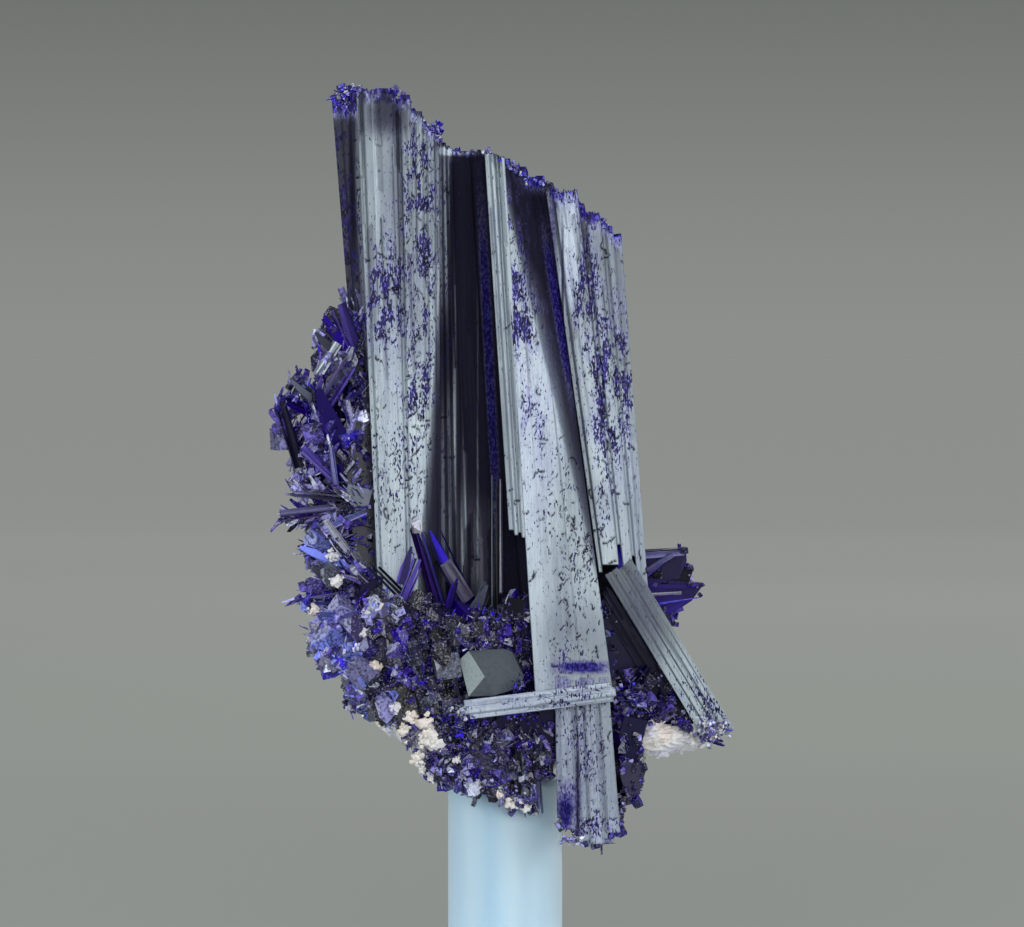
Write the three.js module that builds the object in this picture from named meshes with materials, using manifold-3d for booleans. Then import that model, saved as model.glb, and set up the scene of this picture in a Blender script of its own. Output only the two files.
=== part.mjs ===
// Azurite specimen on a display stand.
// Tall striated azurite crystals stand side by side, leaning a little to the right. Sprays of small
// blades cover their foot and left flank, on a lump of cream matrix. The matrix sits on a plain post.
// Millimetres, +Z up, front at -Y. The origin is the middle of the stand's underside.
import * as THREE from "three";
import { ConvexGeometry } from "three/addons/geometries/ConvexGeometry.js";
import { mergeVertices } from "three/addons/utils/BufferGeometryUtils.js";
import Module from "manifold-3d";

const wasm = await Module();
wasm.setup();

// Driving dimensions
const POST_RADIUS = 5;
const POST_TOP = 20.2;
const FOOT_RADIUS = 19;
const FOOT_HEIGHT = 4;
const EDGE_RADIUS = 0.6;
const CLEARANCE = 0.3;
// The tall crystals' edges are straight lines, given by their x at these two heights.
const LOW = 36;
const HIGH = 80;

const AZURITE = new THREE.MeshStandardMaterial({ color: 0x3a4a78, roughness: 0.3, metalness: 0.4 });
const MATRIX = new THREE.MeshStandardMaterial({ color: 0xe6dccb, roughness: 0.9, metalness: 0 });
const STAND = new THREE.MeshStandardMaterial({ color: 0xb4d0e2, roughness: 0.4, metalness: 0 });

// A small generator of repeatable random numbers, each from low to high.
function dice(seed) {
  let state = seed;
  return (low, high) => {
    state = (state * 16807) % 2147483647;
    return low + ((high - low) * state) / 2147483647;
  };
}

const mix = (a, b, t) => a + (b - a) * t;
const vector = (p) => new THREE.Vector3(...p);

function solid(geometry) {
  const bare = new THREE.BufferGeometry().setAttribute("position", geometry.getAttribute("position"));
  if (geometry.index) bare.setIndex(geometry.index);
  const merged = mergeVertices(bare, 1e-4);
  return new wasm.Manifold(
    new wasm.Mesh({
      numProp: 3,
      vertProperties: new Float32Array(merged.attributes.position.array),
      triVerts: new Uint32Array(merged.index.array),
    }),
  );
}

function geometryOf(manifold) {
  const mesh = manifold.getMesh();
  const geometry = new THREE.BufferGeometry();
  geometry.setAttribute("position", new THREE.BufferAttribute(mesh.vertProperties, 3));
  geometry.setIndex(new THREE.BufferAttribute(mesh.triVerts, 1));
  return geometry;
}

const convex = (points) => solid(new ConvexGeometry(points.map(vector)));

// Tall crystals

// Each tall crystal is a row of parallel laths, which gives its face the striations.
// left and right are its edges' x at LOW and HIGH, front its face's y at both, back the y behind it.
// A lath is [width in tenths of a millimetre, setback of its face, height of its top, of its foot].
function tallCrystal({ left, right, front, back, laths, slope = 0.35 }) {
  const at = (edge, z) => mix(edge[0], edge[1], (z - LOW) / (HIGH - LOW));
  const total = laths.reduce((sum, lath) => sum + lath[0], 0);
  let before = 0;
  return laths.map(([width, setback, top, foot]) => {
    const start = before / total;
    before += width;
    const end = before / total;
    const corner = (share, z, overlap, y) => [mix(at(left, z), at(right, z), share) + overlap, y, z];
    const points = [];
    for (const [z, drop] of [[foot, 0], [top, slope * (width / 10)]]) {
      const face = at(front, z) + setback;
      points.push(corner(start, z, 0, face), corner(end, z - drop, 0, face));
      points.push(corner(start, z, -0.12, back), corner(end, z - drop, 0.12, back));
    }
    return convex(points);
  });
}

const leftCrystal = tallCrystal({
  left: [-11.0, -12.9],
  right: [-5.55, -5.75],
  front: [-6.6, -5.8],
  back: 1.2,
  laths: [
    [6, 0.4, 80.9, 33],
    [32, 0, 80.7, 33],
    [4, 0.55, 79.7, 33],
    [10, 0.12, 80.2, 33],
    [12, 0.3, 78.9, 33],
    [4, 0.6, 78.0, 33],
    [8, 0.2, 77.4, 33],
    [4, 0.8, 76.5, 33],
  ],
});

// The left crystal's flank steps back from its front edge and is seen at a slant.
const leftFlank = tallCrystal({
  left: [-11.7, -15.2],
  right: [-10.8, -12.6],
  front: [-3.0, -2.4],
  back: 3.6,
  laths: [
    [8, 2.0, 80.3, 44],
    [9, 0.7, 81.2, 34],
    [10, -1.6, 80.5, 33],
  ],
});

const recessedCrystal = tallCrystal({
  left: [-5.7, -5.9],
  right: [2.6, -1.7],
  front: [-2.6, -2.2],
  back: 2.4,
  laths: [
    [4, -2.3, 76.2, 31],
    [4, -1.3, 76.0, 31],
    [5, -0.3, 75.7, 31],
    [16, 0, 75.5, 31],
    [12, 0.3, 75.4, 31],
    [7, -0.8, 75.2, 31],
  ],
});

// The centre crystal's upper left edge ends in a step; the rest of it goes on down to the lowest point.
const centreEdge = tallCrystal({
  left: [0.75, -2.1],
  right: [2.2, -0.5],
  front: [-7.7, -6.3],
  back: 0.6,
  laths: [
    [5, 0.4, 75.3, 42.3],
    [4, 0, 75.1, 41.9],
    [3, 0.5, 75.0, 42.1],
    [5, 0.1, 74.8, 41.6],
  ],
});
const centreCrystal = tallCrystal({
  left: [2.1, -0.7],
  right: [8.3, 2.5],
  front: [-7.9, -6.2],
  back: 0.8,
  laths: [
    [10, 0, 74.6, 26],
    [18, 0.12, 73.9, 26],
    [17, 0, 73.2, 26],
  ],
});
// The lower half of the centre crystal is set a little to the right and hangs in front of the post.
const centreFoot = tallCrystal({
  left: [4.2, 3.5],
  right: [8.4, 4.9],
  front: [-8.2, -7.4],
  back: -5.4,
  laths: [
    [15, 0.15, 31, 16.6],
    [9, 0.35, 31, 15.6],
    [16, 0, 31, 15.1],
    [9, 0.3, 31, 16.0],
  ],
  slope: 0.1,
});

const rightCrystal = tallCrystal({
  left: [8.5, 2.4],
  right: [12.5, 9.2],
  front: [-6.2, -4.7],
  back: 1.8,
  laths: [
    [6, 0.7, 72.6, 38.6],
    [24, 0, 71.9, 39.2],
    [5, 0.6, 70.7, 41.0],
    [14, 0.1, 70.0, 38.6],
    [4, 0.5, 69.4, 40.0],
    [7, 0.15, 68.9, 38.4],
    [8, 0.6, 68.1, 34.8],
  ],
  slope: 0.5,
});

// A slanting facet takes the centre crystal's upper right corner away and opens the groove beside it.
function grooveCutter() {
  const points = [];
  for (const z of [36, 76]) {
    const share = (z - 36) / 40;
    const front = mix(8.3, 0.0, share);
    const deep = mix(8.4, 3.4, share);
    points.push([front, -9, z], [deep, mix(-6.6, -2.6, share), z], [deep + 0.4, -9, z]);
  }
  return convex(points);
}

// Heights of the broken top from left to right, as [x, z].
const TOP_LINE = [
  [-16, 79.6], [-13, 80.8], [-9, 80.2], [-7, 78.0], [-5, 76.0], [-1.5, 75.2], [1.5, 73.4], [5, 71.0],
  [7, 69.6], [9, 67.6], [10.5, 64.5],
];
function topHeight(x) {
  for (let i = 1; i < TOP_LINE.length; i++) {
    const [x0, z0] = TOP_LINE[i - 1];
    const [x1, z1] = TOP_LINE[i];
    if (x <= x1) return mix(z0, z1, Math.max(0, (x - x0) / (x1 - x0)));
  }
  return TOP_LINE[TOP_LINE.length - 1][1];
}

// Rows of laths behind the faces: the group's core and its striated back.
function backRow({ from, to, count, face, depth, seed, foot }) {
  const roll = dice(seed);
  const made = [];
  const xAt = (share, z) => {
    const up = (z - LOW) / (HIGH - LOW);
    return mix(mix(-11.6, -15.0, up), mix(12.2, 9.0, up), share);
  };
  for (let i = 0; i < count; i++) {
    const start = mix(from, to, i / count) - 0.006;
    const end = mix(from, to, (i + 1) / count) + 0.006;
    const top = topHeight(xAt((start + end) / 2, HIGH)) - roll(0.1, 1.6);
    const low = foot + roll(0, 3);
    const back = depth + roll(-0.8, 0.8);
    const tilt = roll(-0.6, 0.6);
    const points = [];
    for (const z of [low, top]) {
      const slant = z === top ? tilt : 0;
      points.push([xAt(start, z), face, z + slant], [xAt(end, z), face, z - slant]);
      points.push([xAt(start, z), back, z + slant], [xAt(end, z), back - 0.3, z - slant]);
    }
    made.push(convex(points));
  }
  return made;
}
const core = backRow({ from: 0.09, to: 0.95, count: 6, face: -2.0, depth: 2.6, seed: 11, foot: 30 });
const back = backRow({ from: 0.04, to: 0.97, count: 11, face: 1.5, depth: 5.2, seed: 23, foot: 29 });

// Small crystals

// A blade is a flat prism with a chisel tip, from its root to its tip.
// roll turns its flat side about its length, from facing the front.
function blade(root, tip, width, thick, roll = 0) {
  const from = vector(root);
  const axis = vector(tip).sub(from);
  const length = axis.length();
  axis.normalize();
  const across = new THREE.Vector3().crossVectors(axis, new THREE.Vector3(0, -1, 0)).normalize();
  across.applyAxisAngle(axis, (roll * Math.PI) / 180);
  const normal = new THREE.Vector3().crossVectors(across, axis);
  const shoulder = length - Math.min(width * 0.5, length * 0.4);
  const place = (a, b, c) => {
    const p = from.clone().addScaledVector(across, a * width).addScaledVector(normal, b * thick);
    return p.addScaledVector(axis, c).toArray();
  };
  const points = [place(-0.15, 0.5, length), place(-0.15, -0.2, length)];
  for (const side of [-0.5, 0.5]) {
    for (const face of [-0.5, 0.5]) {
      points.push(place(side, face * (side < 0 ? 1 : 0.55), 0));
      points.push(place(side, face * (side < 0 ? 1 : 0.55), side < 0 ? shoulder : shoulder + width * 0.2));
    }
  }
  return convex(points);
}

// A splinter is a blade with plain edges and one sharp tip, for the crust.
function splinter(root, tip, width, thick, roll) {
  const axis = vector(tip).sub(vector(root));
  const length = axis.length();
  axis.normalize();
  const turn = new THREE.Quaternion().setFromUnitVectors(new THREE.Vector3(0, 0, 1), axis);
  const twist = new THREE.Quaternion().setFromAxisAngle(axis, (roll * Math.PI) / 180);
  const place = (x, y, z) => {
    const p = new THREE.Vector3(x, y, z).applyQuaternion(turn).applyQuaternion(twist);
    return p.add(vector(root)).toArray();
  };
  const points = [place(width * 0.2, 0, length)];
  for (const side of [-0.5, 0.5]) {
    points.push(place(side * width, -thick / 2, 0), place(side * width, thick / 2, 0));
    points.push(place(side * width, 0, length - width * 0.6));
  }
  return convex(points);
}

// A block is a stubby crystal: a box with two opposite corners cut off by the share given.
function block(centre, size, turn, cut = 0.45) {
  const rotation = new THREE.Euler(...turn.map((d) => (d * Math.PI) / 180));
  const points = [];
  for (const sx of [-1, 1]) {
    for (const sy of [-1, 1]) {
      for (const sz of [-1, 1]) {
        if (sx === sy && sy === sz) {
          for (const corner of [[cut, 1, 1], [1, cut, 1], [1, 1, cut]]) points.push(corner.map((c) => c * sx));
        } else {
          points.push([sx, sy, sz]);
        }
      }
    }
  }
  return convex(
    points.map((p) => {
      const v = new THREE.Vector3(p[0] * size[0], p[1] * size[1], p[2] * size[2]).multiplyScalar(0.5);
      return v.applyEuler(rotation).add(vector(centre)).toArray();
    }),
  );
}

// Left flank: blades as [root, tip, width, thickness, roll].
const LEFT_SPRAY = [
  [[-12.6, -1.5, 56.5], [-14.7, -2.6, 61.7], 1.7, 0.5, 30],
  [[-12.8, -1.5, 56.5], [-15.8, -2.9, 60.9], 1.7, 0.5, 20],
  [[-12.8, -2.0, 55.6], [-16.6, -3.0, 59.4], 2.2, 0.6, 30],
  [[-14.6, -2.5, 58.4], [-16.3, -4.0, 55.6], 1.1, 0.45, 0],
  [[-16.0, -3.0, 53.6], [-13.6, -5.2, 57.6], 0.7, 0.4, 15],
  [[-15.2, -0.5, 51.5], [-19.7, -1.8, 53.8], 1.8, 0.7, 40],
  [[-15.4, -1.0, 52.4], [-18.7, -2.6, 55.5], 1.4, 0.5, -20],
  [[-18.0, -2.0, 47.6], [-19.7, -2.6, 53.3], 1.2, 0.6, 10],
  [[-16.6, -0.5, 48.4], [-19.6, -0.9, 50.6], 1.2, 0.5, 60],
  [[-13.0, -2.8, 47.0], [-16.0, -4.0, 54.6], 3.6, 0.9, -8],
  [[-14.7, -2.5, 45.2], [-15.2, -5.2, 49.6], 0.8, 0.5, 20],
  [[-14.6, -2.4, 46.2], [-17.8, -4.6, 49.3], 1.1, 0.5, 25],
  [[-12.4, -3.0, 44.9], [-18.8, -5.0, 45.7], 1.0, 0.8, 0],
  [[-13.2, -3.0, 44.2], [-19.6, -4.0, 43.4], 1.2, 0.8, -10],
  [[-13.6, -2.4, 43.6], [-17.1, -4.4, 42.6], 1.1, 0.5, 30],
  [[-12.2, -3.4, 43.8], [-15.9, -5.4, 42.3], 0.7, 0.5, 0],
  [[-13.6, -3.0, 39.0], [-17.2, -5.0, 42.7], 1.6, 0.6, 10],
  [[-13.4, -3.2, 39.4], [-15.9, -5.6, 43.0], 1.4, 0.6, -20],
  [[-13.4, -3.0, 39.2], [-17.9, -4.8, 40.9], 1.6, 0.7, 0],
  [[-13.4, -3.2, 36.6], [-18.2, -4.2, 36.3], 1.8, 0.8, 0],
  [[-13.2, -3.0, 37.2], [-16.9, -4.6, 38.6], 1.3, 0.6, 40],
];

// Foot of the tall crystals, front left.
const FOOT_BLADES = [
  [[-4.2, -5.0, 34.0], [-7.5, -8.2, 42.8], 1.7, 1.0, -20],
  [[-2.4, -4.6, 34.2], [-6.2, -7.4, 42.4], 2.1, 1.1, 12],
  [[-9.4, -6.2, 34.6], [-7.3, -8.4, 39.8], 1.1, 0.6, 10],
  [[-5.6, -6.0, 33.4], [-4.2, -8.2, 38.2], 1.2, 0.7, 30],
  [[-7.6, -6.4, 35.2], [-11.8, -7.6, 39.4], 1.2, 0.7, 20],
  [[-2.8, -5.5, 34.4], [-1.4, -7.2, 37.6], 1.5, 0.9, 0],
  [[-11.6, -3.5, 33.4], [-16.8, -6.2, 32.2], 2.3, 1.2, 10],
  [[-11.4, -4.0, 34.0], [-16.2, -7.0, 34.3], 2.0, 1.0, -15],
  [[-11.2, -4.2, 32.2], [-15.9, -7.2, 30.8], 1.9, 1.3, 0],
  [[-10.6, -6.0, 29.0], [-14.3, -8.2, 31.4], 2.0, 1.5, 0],
  [[-8.0, -6.8, 33.2], [-8.1, -9.4, 31.0], 0.9, 0.6, 0],
  [[-5.2, -6.5, 28.0], [-9.6, -8.6, 30.2], 1.5, 0.8, 20],
  [[-3.9, -8.6, 26.6], [9.6, -9.5, 28.4], 1.7, 1.3, 0],
  [[-2.6, -8.4, 26.0], [4.2, -8.6, 27.1], 0.8, 0.8, 0],
  [[1.7, -5.6, 25.6], [1.8, -8.0, 18.6], 2.3, 1.6, 0],
  [[3.7, -5.4, 28.0], [3.7, -6.5, 20.4], 1.3, 0.9, 0],
  [[-0.6, -5.4, 25.2], [-0.8, -8.2, 19.2], 1.5, 1.2, 10],
  [[-2.2, -5.4, 24.8], [-2.4, -8.6, 19.4], 1.6, 1.1, -15],
  [[-4.2, -5.2, 24.6], [-4.5, -8.2, 19.9], 1.8, 1.4, 10],
  [[2.6, -5.6, 21.0], [2.9, -7.6, 17.3], 1.2, 0.9, -20],
];

// Lower right: the diagonal crystal, in three laths, and what stands round it.
const RIGHT_BLADES = [
  [[17.9, -3.2, 24.2], [8.9, -6.4, 38.7], 1.3, 2.4, 0],
  [[18.8, -3.2, 24.8], [9.9, -6.4, 39.2], 1.2, 1.7, 0],
  [[16.9, -3.0, 24.0], [8.5, -6.0, 37.4], 1.1, 1.8, 0],
  [[16.2, -2.8, 24.4], [8.9, -5.6, 35.4], 0.8, 1.4, 0],
  [[16.0, -2.4, 24.4], [19.6, -4.2, 23.3], 1.1, 0.7, 20],
  [[9.6, -3.6, 27.0], [12.2, -6.0, 30.6], 1.2, 0.7, 30],
  [[12.6, -3.0, 25.4], [14.4, -6.0, 27.2], 1.0, 0.7, 15],
  [[9.4, -4.0, 25.0], [10.6, -6.8, 27.0], 1.0, 0.7, 15],
];

// The fan behind the right crystal: plates that stand on edge, as the blades of an open book.
const RIGHT_FAN = [
  [[9.6, 0.0, 38.6], [15.9, -0.6, 40.3], 1.0, 4.6, 0],
  [[9.8, 0.4, 37.4], [16.4, 0.2, 38.7], 1.1, 4.2, 0],
  [[9.8, 0.0, 36.4], [17.5, -0.4, 37.6], 0.9, 4.6, 0],
  [[9.8, 0.2, 35.4], [17.2, 0.4, 36.2], 1.1, 4.0, 0],
  [[9.6, 0.0, 34.6], [16.2, -0.2, 34.8], 1.1, 3.8, 0],
  [[9.4, 0.4, 34.0], [15.0, 0.6, 33.6], 1.1, 3.4, 0],
];

// Blocks as [centre, size, turn in degrees].
const BLOCKS = [
  [[-1.2, -7.9, 29.9], [4.3, 3.6, 3.7], [20, 18, -24]],
  [[-8.6, -6.8, 34.4], [3.2, 2.8, 2.9], [12, 30, 14]],
  [[-9.2, -7.0, 28.0], [2.2, 2.4, 2.0], [10, -15, 20]],
  [[-14.0, -6.0, 31.8], [2.4, 2.2, 1.9], [25, 10, -30]],
  [[-11.0, -7.2, 35.2], [1.5, 2.4, 1.5], [10, 30, 40]],
  [[-13.0, -3.6, 45.2], [2.2, 3.2, 1.5], [0, 15, 8]],
  [[-15.6, -2.4, 51.6], [3.4, 3.0, 3.8], [15, 25, 30]],
  [[-14.2, -1.0, 47.6], [5.0, 4.6, 6.4], [10, 40, 15]],
  [[-13.6, -1.6, 41.6], [3.8, 4.4, 5.4], [30, 20, 10]],
  [[-13.6, -0.4, 54.6], [4.0, 3.6, 7.0], [14, 10, 25]],
  [[-3.0, -6.6, 33.6], [4.4, 3.6, 3.4], [30, 15, 40]],
  [[2.4, -4.6, 33.6], [3.6, 3.4, 5.6], [5, 20, 8]],
  [[10.7, -5.4, 20.6], [2.1, 2.6, 3.2], [8, 15, 10]],
  [[10.2, -4.4, 24.0], [2.2, 4.0, 4.6], [10, 12, 20]],
];

// The mass that the small crystals grow from: blocks that fill the foot of the group.
const HEART = [
  [[-10.6, -2.6, 35.0], [7.6, 6.6, 7.0], [10, 12, 20]],
  [[-4.2, -2.8, 31.4], [9.0, 8.4, 9.0], [8, 6, 12]],
  [[3.2, -2.2, 31.6], [9.0, 7.6, 9.4], [5, 8, 6]],
  [[9.4, -1.6, 31.4], [7.2, 6.4, 9.0], [8, 10, 12]],
  [[-5.6, -5.2, 27.2], [5.4, 4.0, 5.0], [12, 10, 35]],
  [[1.0, -6.2, 25.2], [8.2, 2.8, 5.0], [4, 6, 5]],
  [[6.2, -5.0, 28.4], [5.6, 3.6, 7.6], [4, 6, 10]],
  [[-12.6, -1.8, 44.0], [3.6, 5.6, 16.0], [0, 4, 8]],
  [[13.2, -2.2, 27.2], [5.6, 3.6, 4.6], [10, 8, 30]],
  [[-4.6, -6.8, 23.2], [3.6, 2.6, 5.0], [0, 0, 20]],
  [[-1.6, -6.9, 22.0], [3.8, 2.6, 5.2], [0, 0, 8]],
  [[1.6, -6.8, 21.4], [2.5, 2.4, 6.6], [0, 0, 0]],
  [[14.0, 0.2, 37.2], [3.6, 2.6, 4.6], [0, 20, 10]],
  [[-10.4, -4.8, 29.6], [5.4, 3.6, 4.4], [0, -30, 20]],
  [[-7.4, -6.0, 27.4], [4.4, 3.4, 3.8], [0, -20, 10]],
];

// A crust covers part of an egg-shaped mass with blades that stand out of it, evenly spread.
function crust({ centre, radii, count, length, width, seed, keep, lean = 0.5 }) {
  const roll = dice(seed);
  const golden = Math.PI * (3 - Math.sqrt(5));
  const made = [];
  for (let i = 0; i < count; i++) {
    const up = 1 - (2 * (i + 0.5)) / count;
    const ring = Math.sqrt(1 - up * up);
    const turn = golden * i + seed;
    const out = [ring * Math.cos(turn), ring * Math.sin(turn), up];
    const size = roll(length[0], length[1]);
    const wide = roll(width[0], width[1]);
    const tilt = [roll(-lean, lean), roll(-lean, lean), roll(-lean, lean)];
    const spin = roll(-90, 90);
    const thick = wide * roll(0.35, 0.7);
    if (!keep(out)) continue;
    const axis = vector(out.map((c, k) => c + tilt[k])).normalize();
    const surface = vector(out.map((c, k) => centre[k] + c * radii[k]));
    const root = surface.clone().addScaledVector(axis, -1.2);
    const tip = surface.addScaledVector(axis, size);
    made.push(splinter(root.toArray(), tip.toArray(), wide, thick, spin));
  }
  return made;
}
const crusts = [
  ...crust({
    centre: [-14.2, -1.0, 48.5], radii: [2.6, 2.8, 8.0], count: 44, length: [0.5, 1.8],
    width: [0.7, 1.5], seed: 5, keep: (d) => d[0] < 0.1,
  }),
  ...crust({
    centre: [-8.6, -4.0, 29.8], radii: [5.0, 3.8, 4.4], count: 60, length: [0.6, 1.8],
    width: [0.8, 1.7], seed: 17, keep: (d) => d[2] < 0.75 && (d[1] < 0.1 || d[0] < -0.5),
  }),
  ...crust({
    centre: [9.5, -1.8, 28.5], radii: [5.0, 3.8, 4.6], count: 32, length: [0.5, 1.5],
    width: [0.7, 1.3], seed: 29, keep: (d) => d[1] < 0.2 && d[0] > -0.2,
  }),
  ...crust({
    centre: [-1.0, 3.2, 33.5], radii: [11.5, 3.8, 7.0], count: 40, length: [0.6, 1.9],
    width: [0.8, 1.8], seed: 41, keep: (d) => d[1] > 0.3 && d[2] > -0.1,
  }),
];

// Short crystals stand along the broken top.
function topCrystals() {
  const roll = dice(71);
  const made = [];
  for (let i = 0; i < 11; i++) {
    const x = mix(-14.6, 8.6, i / 10);
    const y = roll(-3.5, 3.5);
    const z = topHeight(x) - 0.2;
    const foot = [x, y, z - 1.6];
    const end = [x + roll(-0.3, 0.6), y + roll(-0.6, 0.6), z + roll(-0.1, 0.4)];
    made.push(splinter(foot, end, roll(0.8, 1.5), roll(0.5, 0.9), roll(-60, 60)));
  }
  return made;
}

const blades = [...LEFT_SPRAY, ...FOOT_BLADES, ...RIGHT_BLADES, ...RIGHT_FAN].map((b) => blade(...b));
const blocks = [...BLOCKS.map((b) => block(...b)), ...HEART.map((b) => block(...b, 1))];
const groove = grooveCutter();
const centreCut = centreCrystal.map((lath) => lath.subtract(groove));

// The post's end and the air round it are kept free of crystals.
function postSpace() {
  const height = POST_TOP + CLEARANCE;
  const tube = new THREE.CylinderGeometry(POST_RADIUS + CLEARANCE, POST_RADIUS + CLEARANCE, height, 32);
  tube.rotateX(Math.PI / 2);
  tube.translate(0, 0, height / 2);
  return solid(tube);
}

const azuriteSolid = wasm.Manifold.union([
  ...leftCrystal, ...leftFlank, ...recessedCrystal, ...centreEdge, ...centreCut, ...centreFoot,
  ...rightCrystal, ...core, ...back, ...blades, ...blocks, ...crusts, ...topCrystals(),
]).subtract(postSpace());

// Matrix

// A lump of crumbly rock: a ball pulled to its radii and roughened by waves of three sizes.
function lump({ centre, radii, detail, rough, phase }) {
  const ball = new THREE.IcosahedronGeometry(1, detail);
  const position = ball.getAttribute("position");
  for (let i = 0; i < position.count; i++) {
    const v = new THREE.Vector3().fromBufferAttribute(position, i);
    const wave =
      Math.sin(5.1 * v.x + phase) * Math.sin(4.3 * v.y + 2 * phase) +
      Math.sin(9.7 * v.z + phase) * Math.sin(8.9 * v.x - phase) * 0.6 +
      Math.sin(17.3 * v.y + 3 * phase) * Math.sin(15.1 * v.z + phase) * 0.4;
    const swell = 1 + rough * wave;
    position.setXYZ(
      i,
      centre[0] + v.x * radii[0] * swell,
      centre[1] + v.y * radii[1] * swell,
      centre[2] + v.z * radii[2] * swell,
    );
  }
  return solid(ball);
}

const LUMPS = [
  { centre: [-1.2, 1.8, 27.2], radii: [9.6, 5.2, 7.4], detail: 3, rough: 0.1, phase: 0.6 },
  { centre: [6.4, 2.6, 26.4], radii: [6.6, 4.6, 5.2], detail: 2, rough: 0.1, phase: 4.1 },
  { centre: [-5.4, 3.4, 30.6], radii: [5.2, 3.2, 3.8], detail: 2, rough: 0.1, phase: 2.4 },
  { centre: [13.2, -1.0, 24.0], radii: [4.6, 4.4, 1.7], detail: 2, rough: 0.08, phase: 1.7 },
  { centre: [-8.8, -1.0, 28.4], radii: [3.6, 4.4, 3.6], detail: 2, rough: 0.1, phase: 2.9 },
  { centre: [-6.2, -4.2, 24.6], radii: [2.2, 4.6, 2.2], detail: 1, rough: 0.08, phase: 2.0 },
];

// Half-space cut, as a wide slab below the given height.
function slabBelow(z) {
  const slab = new THREE.BoxGeometry(80, 80, 40);
  slab.translate(0, 0, z - 20);
  return solid(slab);
}

const seat = slabBelow(POST_TOP + CLEARANCE);

// The largest single body of a solid; crumbs that a cut leaves beside it are dropped.
function mainBody(manifold) {
  return manifold.decompose().reduce((a, b) => (b.volume() > a.volume() ? b : a));
}

const rock = wasm.Manifold.union(LUMPS.map(lump)).subtract(seat).simplify(0.12);
const pocket = wasm.Manifold.union(
  LUMPS.map((l) => lump({ ...l, radii: l.radii.map((r) => r + CLEARANCE) })),
);
const azuriteBody = mainBody(azuriteSolid.subtract(pocket).simplify(0.03));

// Stand: a post and its foot turned in one, with rounded edges.
function stand() {
  const profile = [[0, 0], [FOOT_RADIUS - 0.4, 0], [FOOT_RADIUS, 0.4]];
  const arc = (cx, cz, radius, from, to) => {
    for (let i = 0; i <= 3; i++) {
      const angle = (mix(from, to, i / 3) * Math.PI) / 180;
      profile.push([cx + radius * Math.cos(angle), cz + radius * Math.sin(angle)]);
    }
  };
  arc(FOOT_RADIUS - 1.2, FOOT_HEIGHT - 1.2, 1.2, 0, 90);
  arc(POST_RADIUS + 1.5, FOOT_HEIGHT + 1.5, 1.5, 270, 180);
  arc(POST_RADIUS - EDGE_RADIUS, POST_TOP - EDGE_RADIUS, EDGE_RADIUS, 0, 90);
  profile.push([0, POST_TOP]);
  const turned = new THREE.LatheGeometry(profile.map((p) => new THREE.Vector2(...p)), 28);
  turned.rotateX(Math.PI / 2);
  return solid(turned);
}

const standSolid = stand();

const root = new THREE.Group();
function addNode(name, manifold, material) {
  const mesh = new THREE.Mesh(geometryOf(manifold), material);
  mesh.name = name;
  root.add(mesh);
}
addNode("azurite", azuriteBody, AZURITE);
addNode("matrix", rock, MATRIX);
addNode("stand", standSolid, STAND);

export default root;
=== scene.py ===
import math
import random

import bmesh
import bpy
import numpy as np
from mathutils import Matrix, Vector


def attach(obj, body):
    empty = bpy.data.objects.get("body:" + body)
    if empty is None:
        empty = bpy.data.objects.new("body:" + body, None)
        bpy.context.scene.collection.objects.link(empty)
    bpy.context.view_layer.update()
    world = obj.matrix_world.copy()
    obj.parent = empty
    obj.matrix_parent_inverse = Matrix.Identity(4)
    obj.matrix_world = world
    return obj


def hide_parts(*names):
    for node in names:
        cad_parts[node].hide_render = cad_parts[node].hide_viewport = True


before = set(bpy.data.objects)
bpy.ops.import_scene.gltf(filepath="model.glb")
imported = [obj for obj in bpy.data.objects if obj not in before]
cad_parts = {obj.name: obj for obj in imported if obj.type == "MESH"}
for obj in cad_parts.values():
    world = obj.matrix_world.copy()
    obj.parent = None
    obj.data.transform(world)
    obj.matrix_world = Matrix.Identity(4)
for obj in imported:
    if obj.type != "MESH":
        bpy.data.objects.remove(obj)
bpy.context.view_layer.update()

# Tall crystals
# Azurite grew here as flat prisms, side by side, leaning a little to the right. Each prism is a bundle of
# parallel laths, so its faces are ribbed lengthwise; acid has etched small pits and hair cracks into them.
# They grew into each other and are one stone. Sizes are in millimetres until the mesh is finished.
MM = 0.001
PER_METRE = 1000
LOW, MIDDLE, HIGH = 36, 58, 80


def mix(a, b, t):
    return a + (b - a) * t


def along(edge, height):
    """An edge is straight, and given by its place at the heights LOW and HIGH."""
    return mix(edge[0], edge[1], (height - LOW) / (HIGH - LOW))


def mottle(shape, down, across, seed):
    """Smooth patches from 0 to 1, each about down rows by across columns."""
    coarse = np.random.default_rng(seed).random((int(shape[0] / down) + 3, int(shape[1] / across) + 3))
    rows, columns = np.arange(shape[0]) / down, np.arange(shape[1]) / across
    r, c = rows.astype(int), columns.astype(int)
    a, b = (rows - r)[:, None], (columns - c)[None, :]
    a, b = a * a * (3 - 2 * a), b * b * (3 - 2 * b)
    upper = mix(coarse[r][:, c], coarse[r][:, c + 1], b)
    lower = mix(coarse[r + 1][:, c], coarse[r + 1][:, c + 1], b)
    return mix(upper, lower, a)


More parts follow.
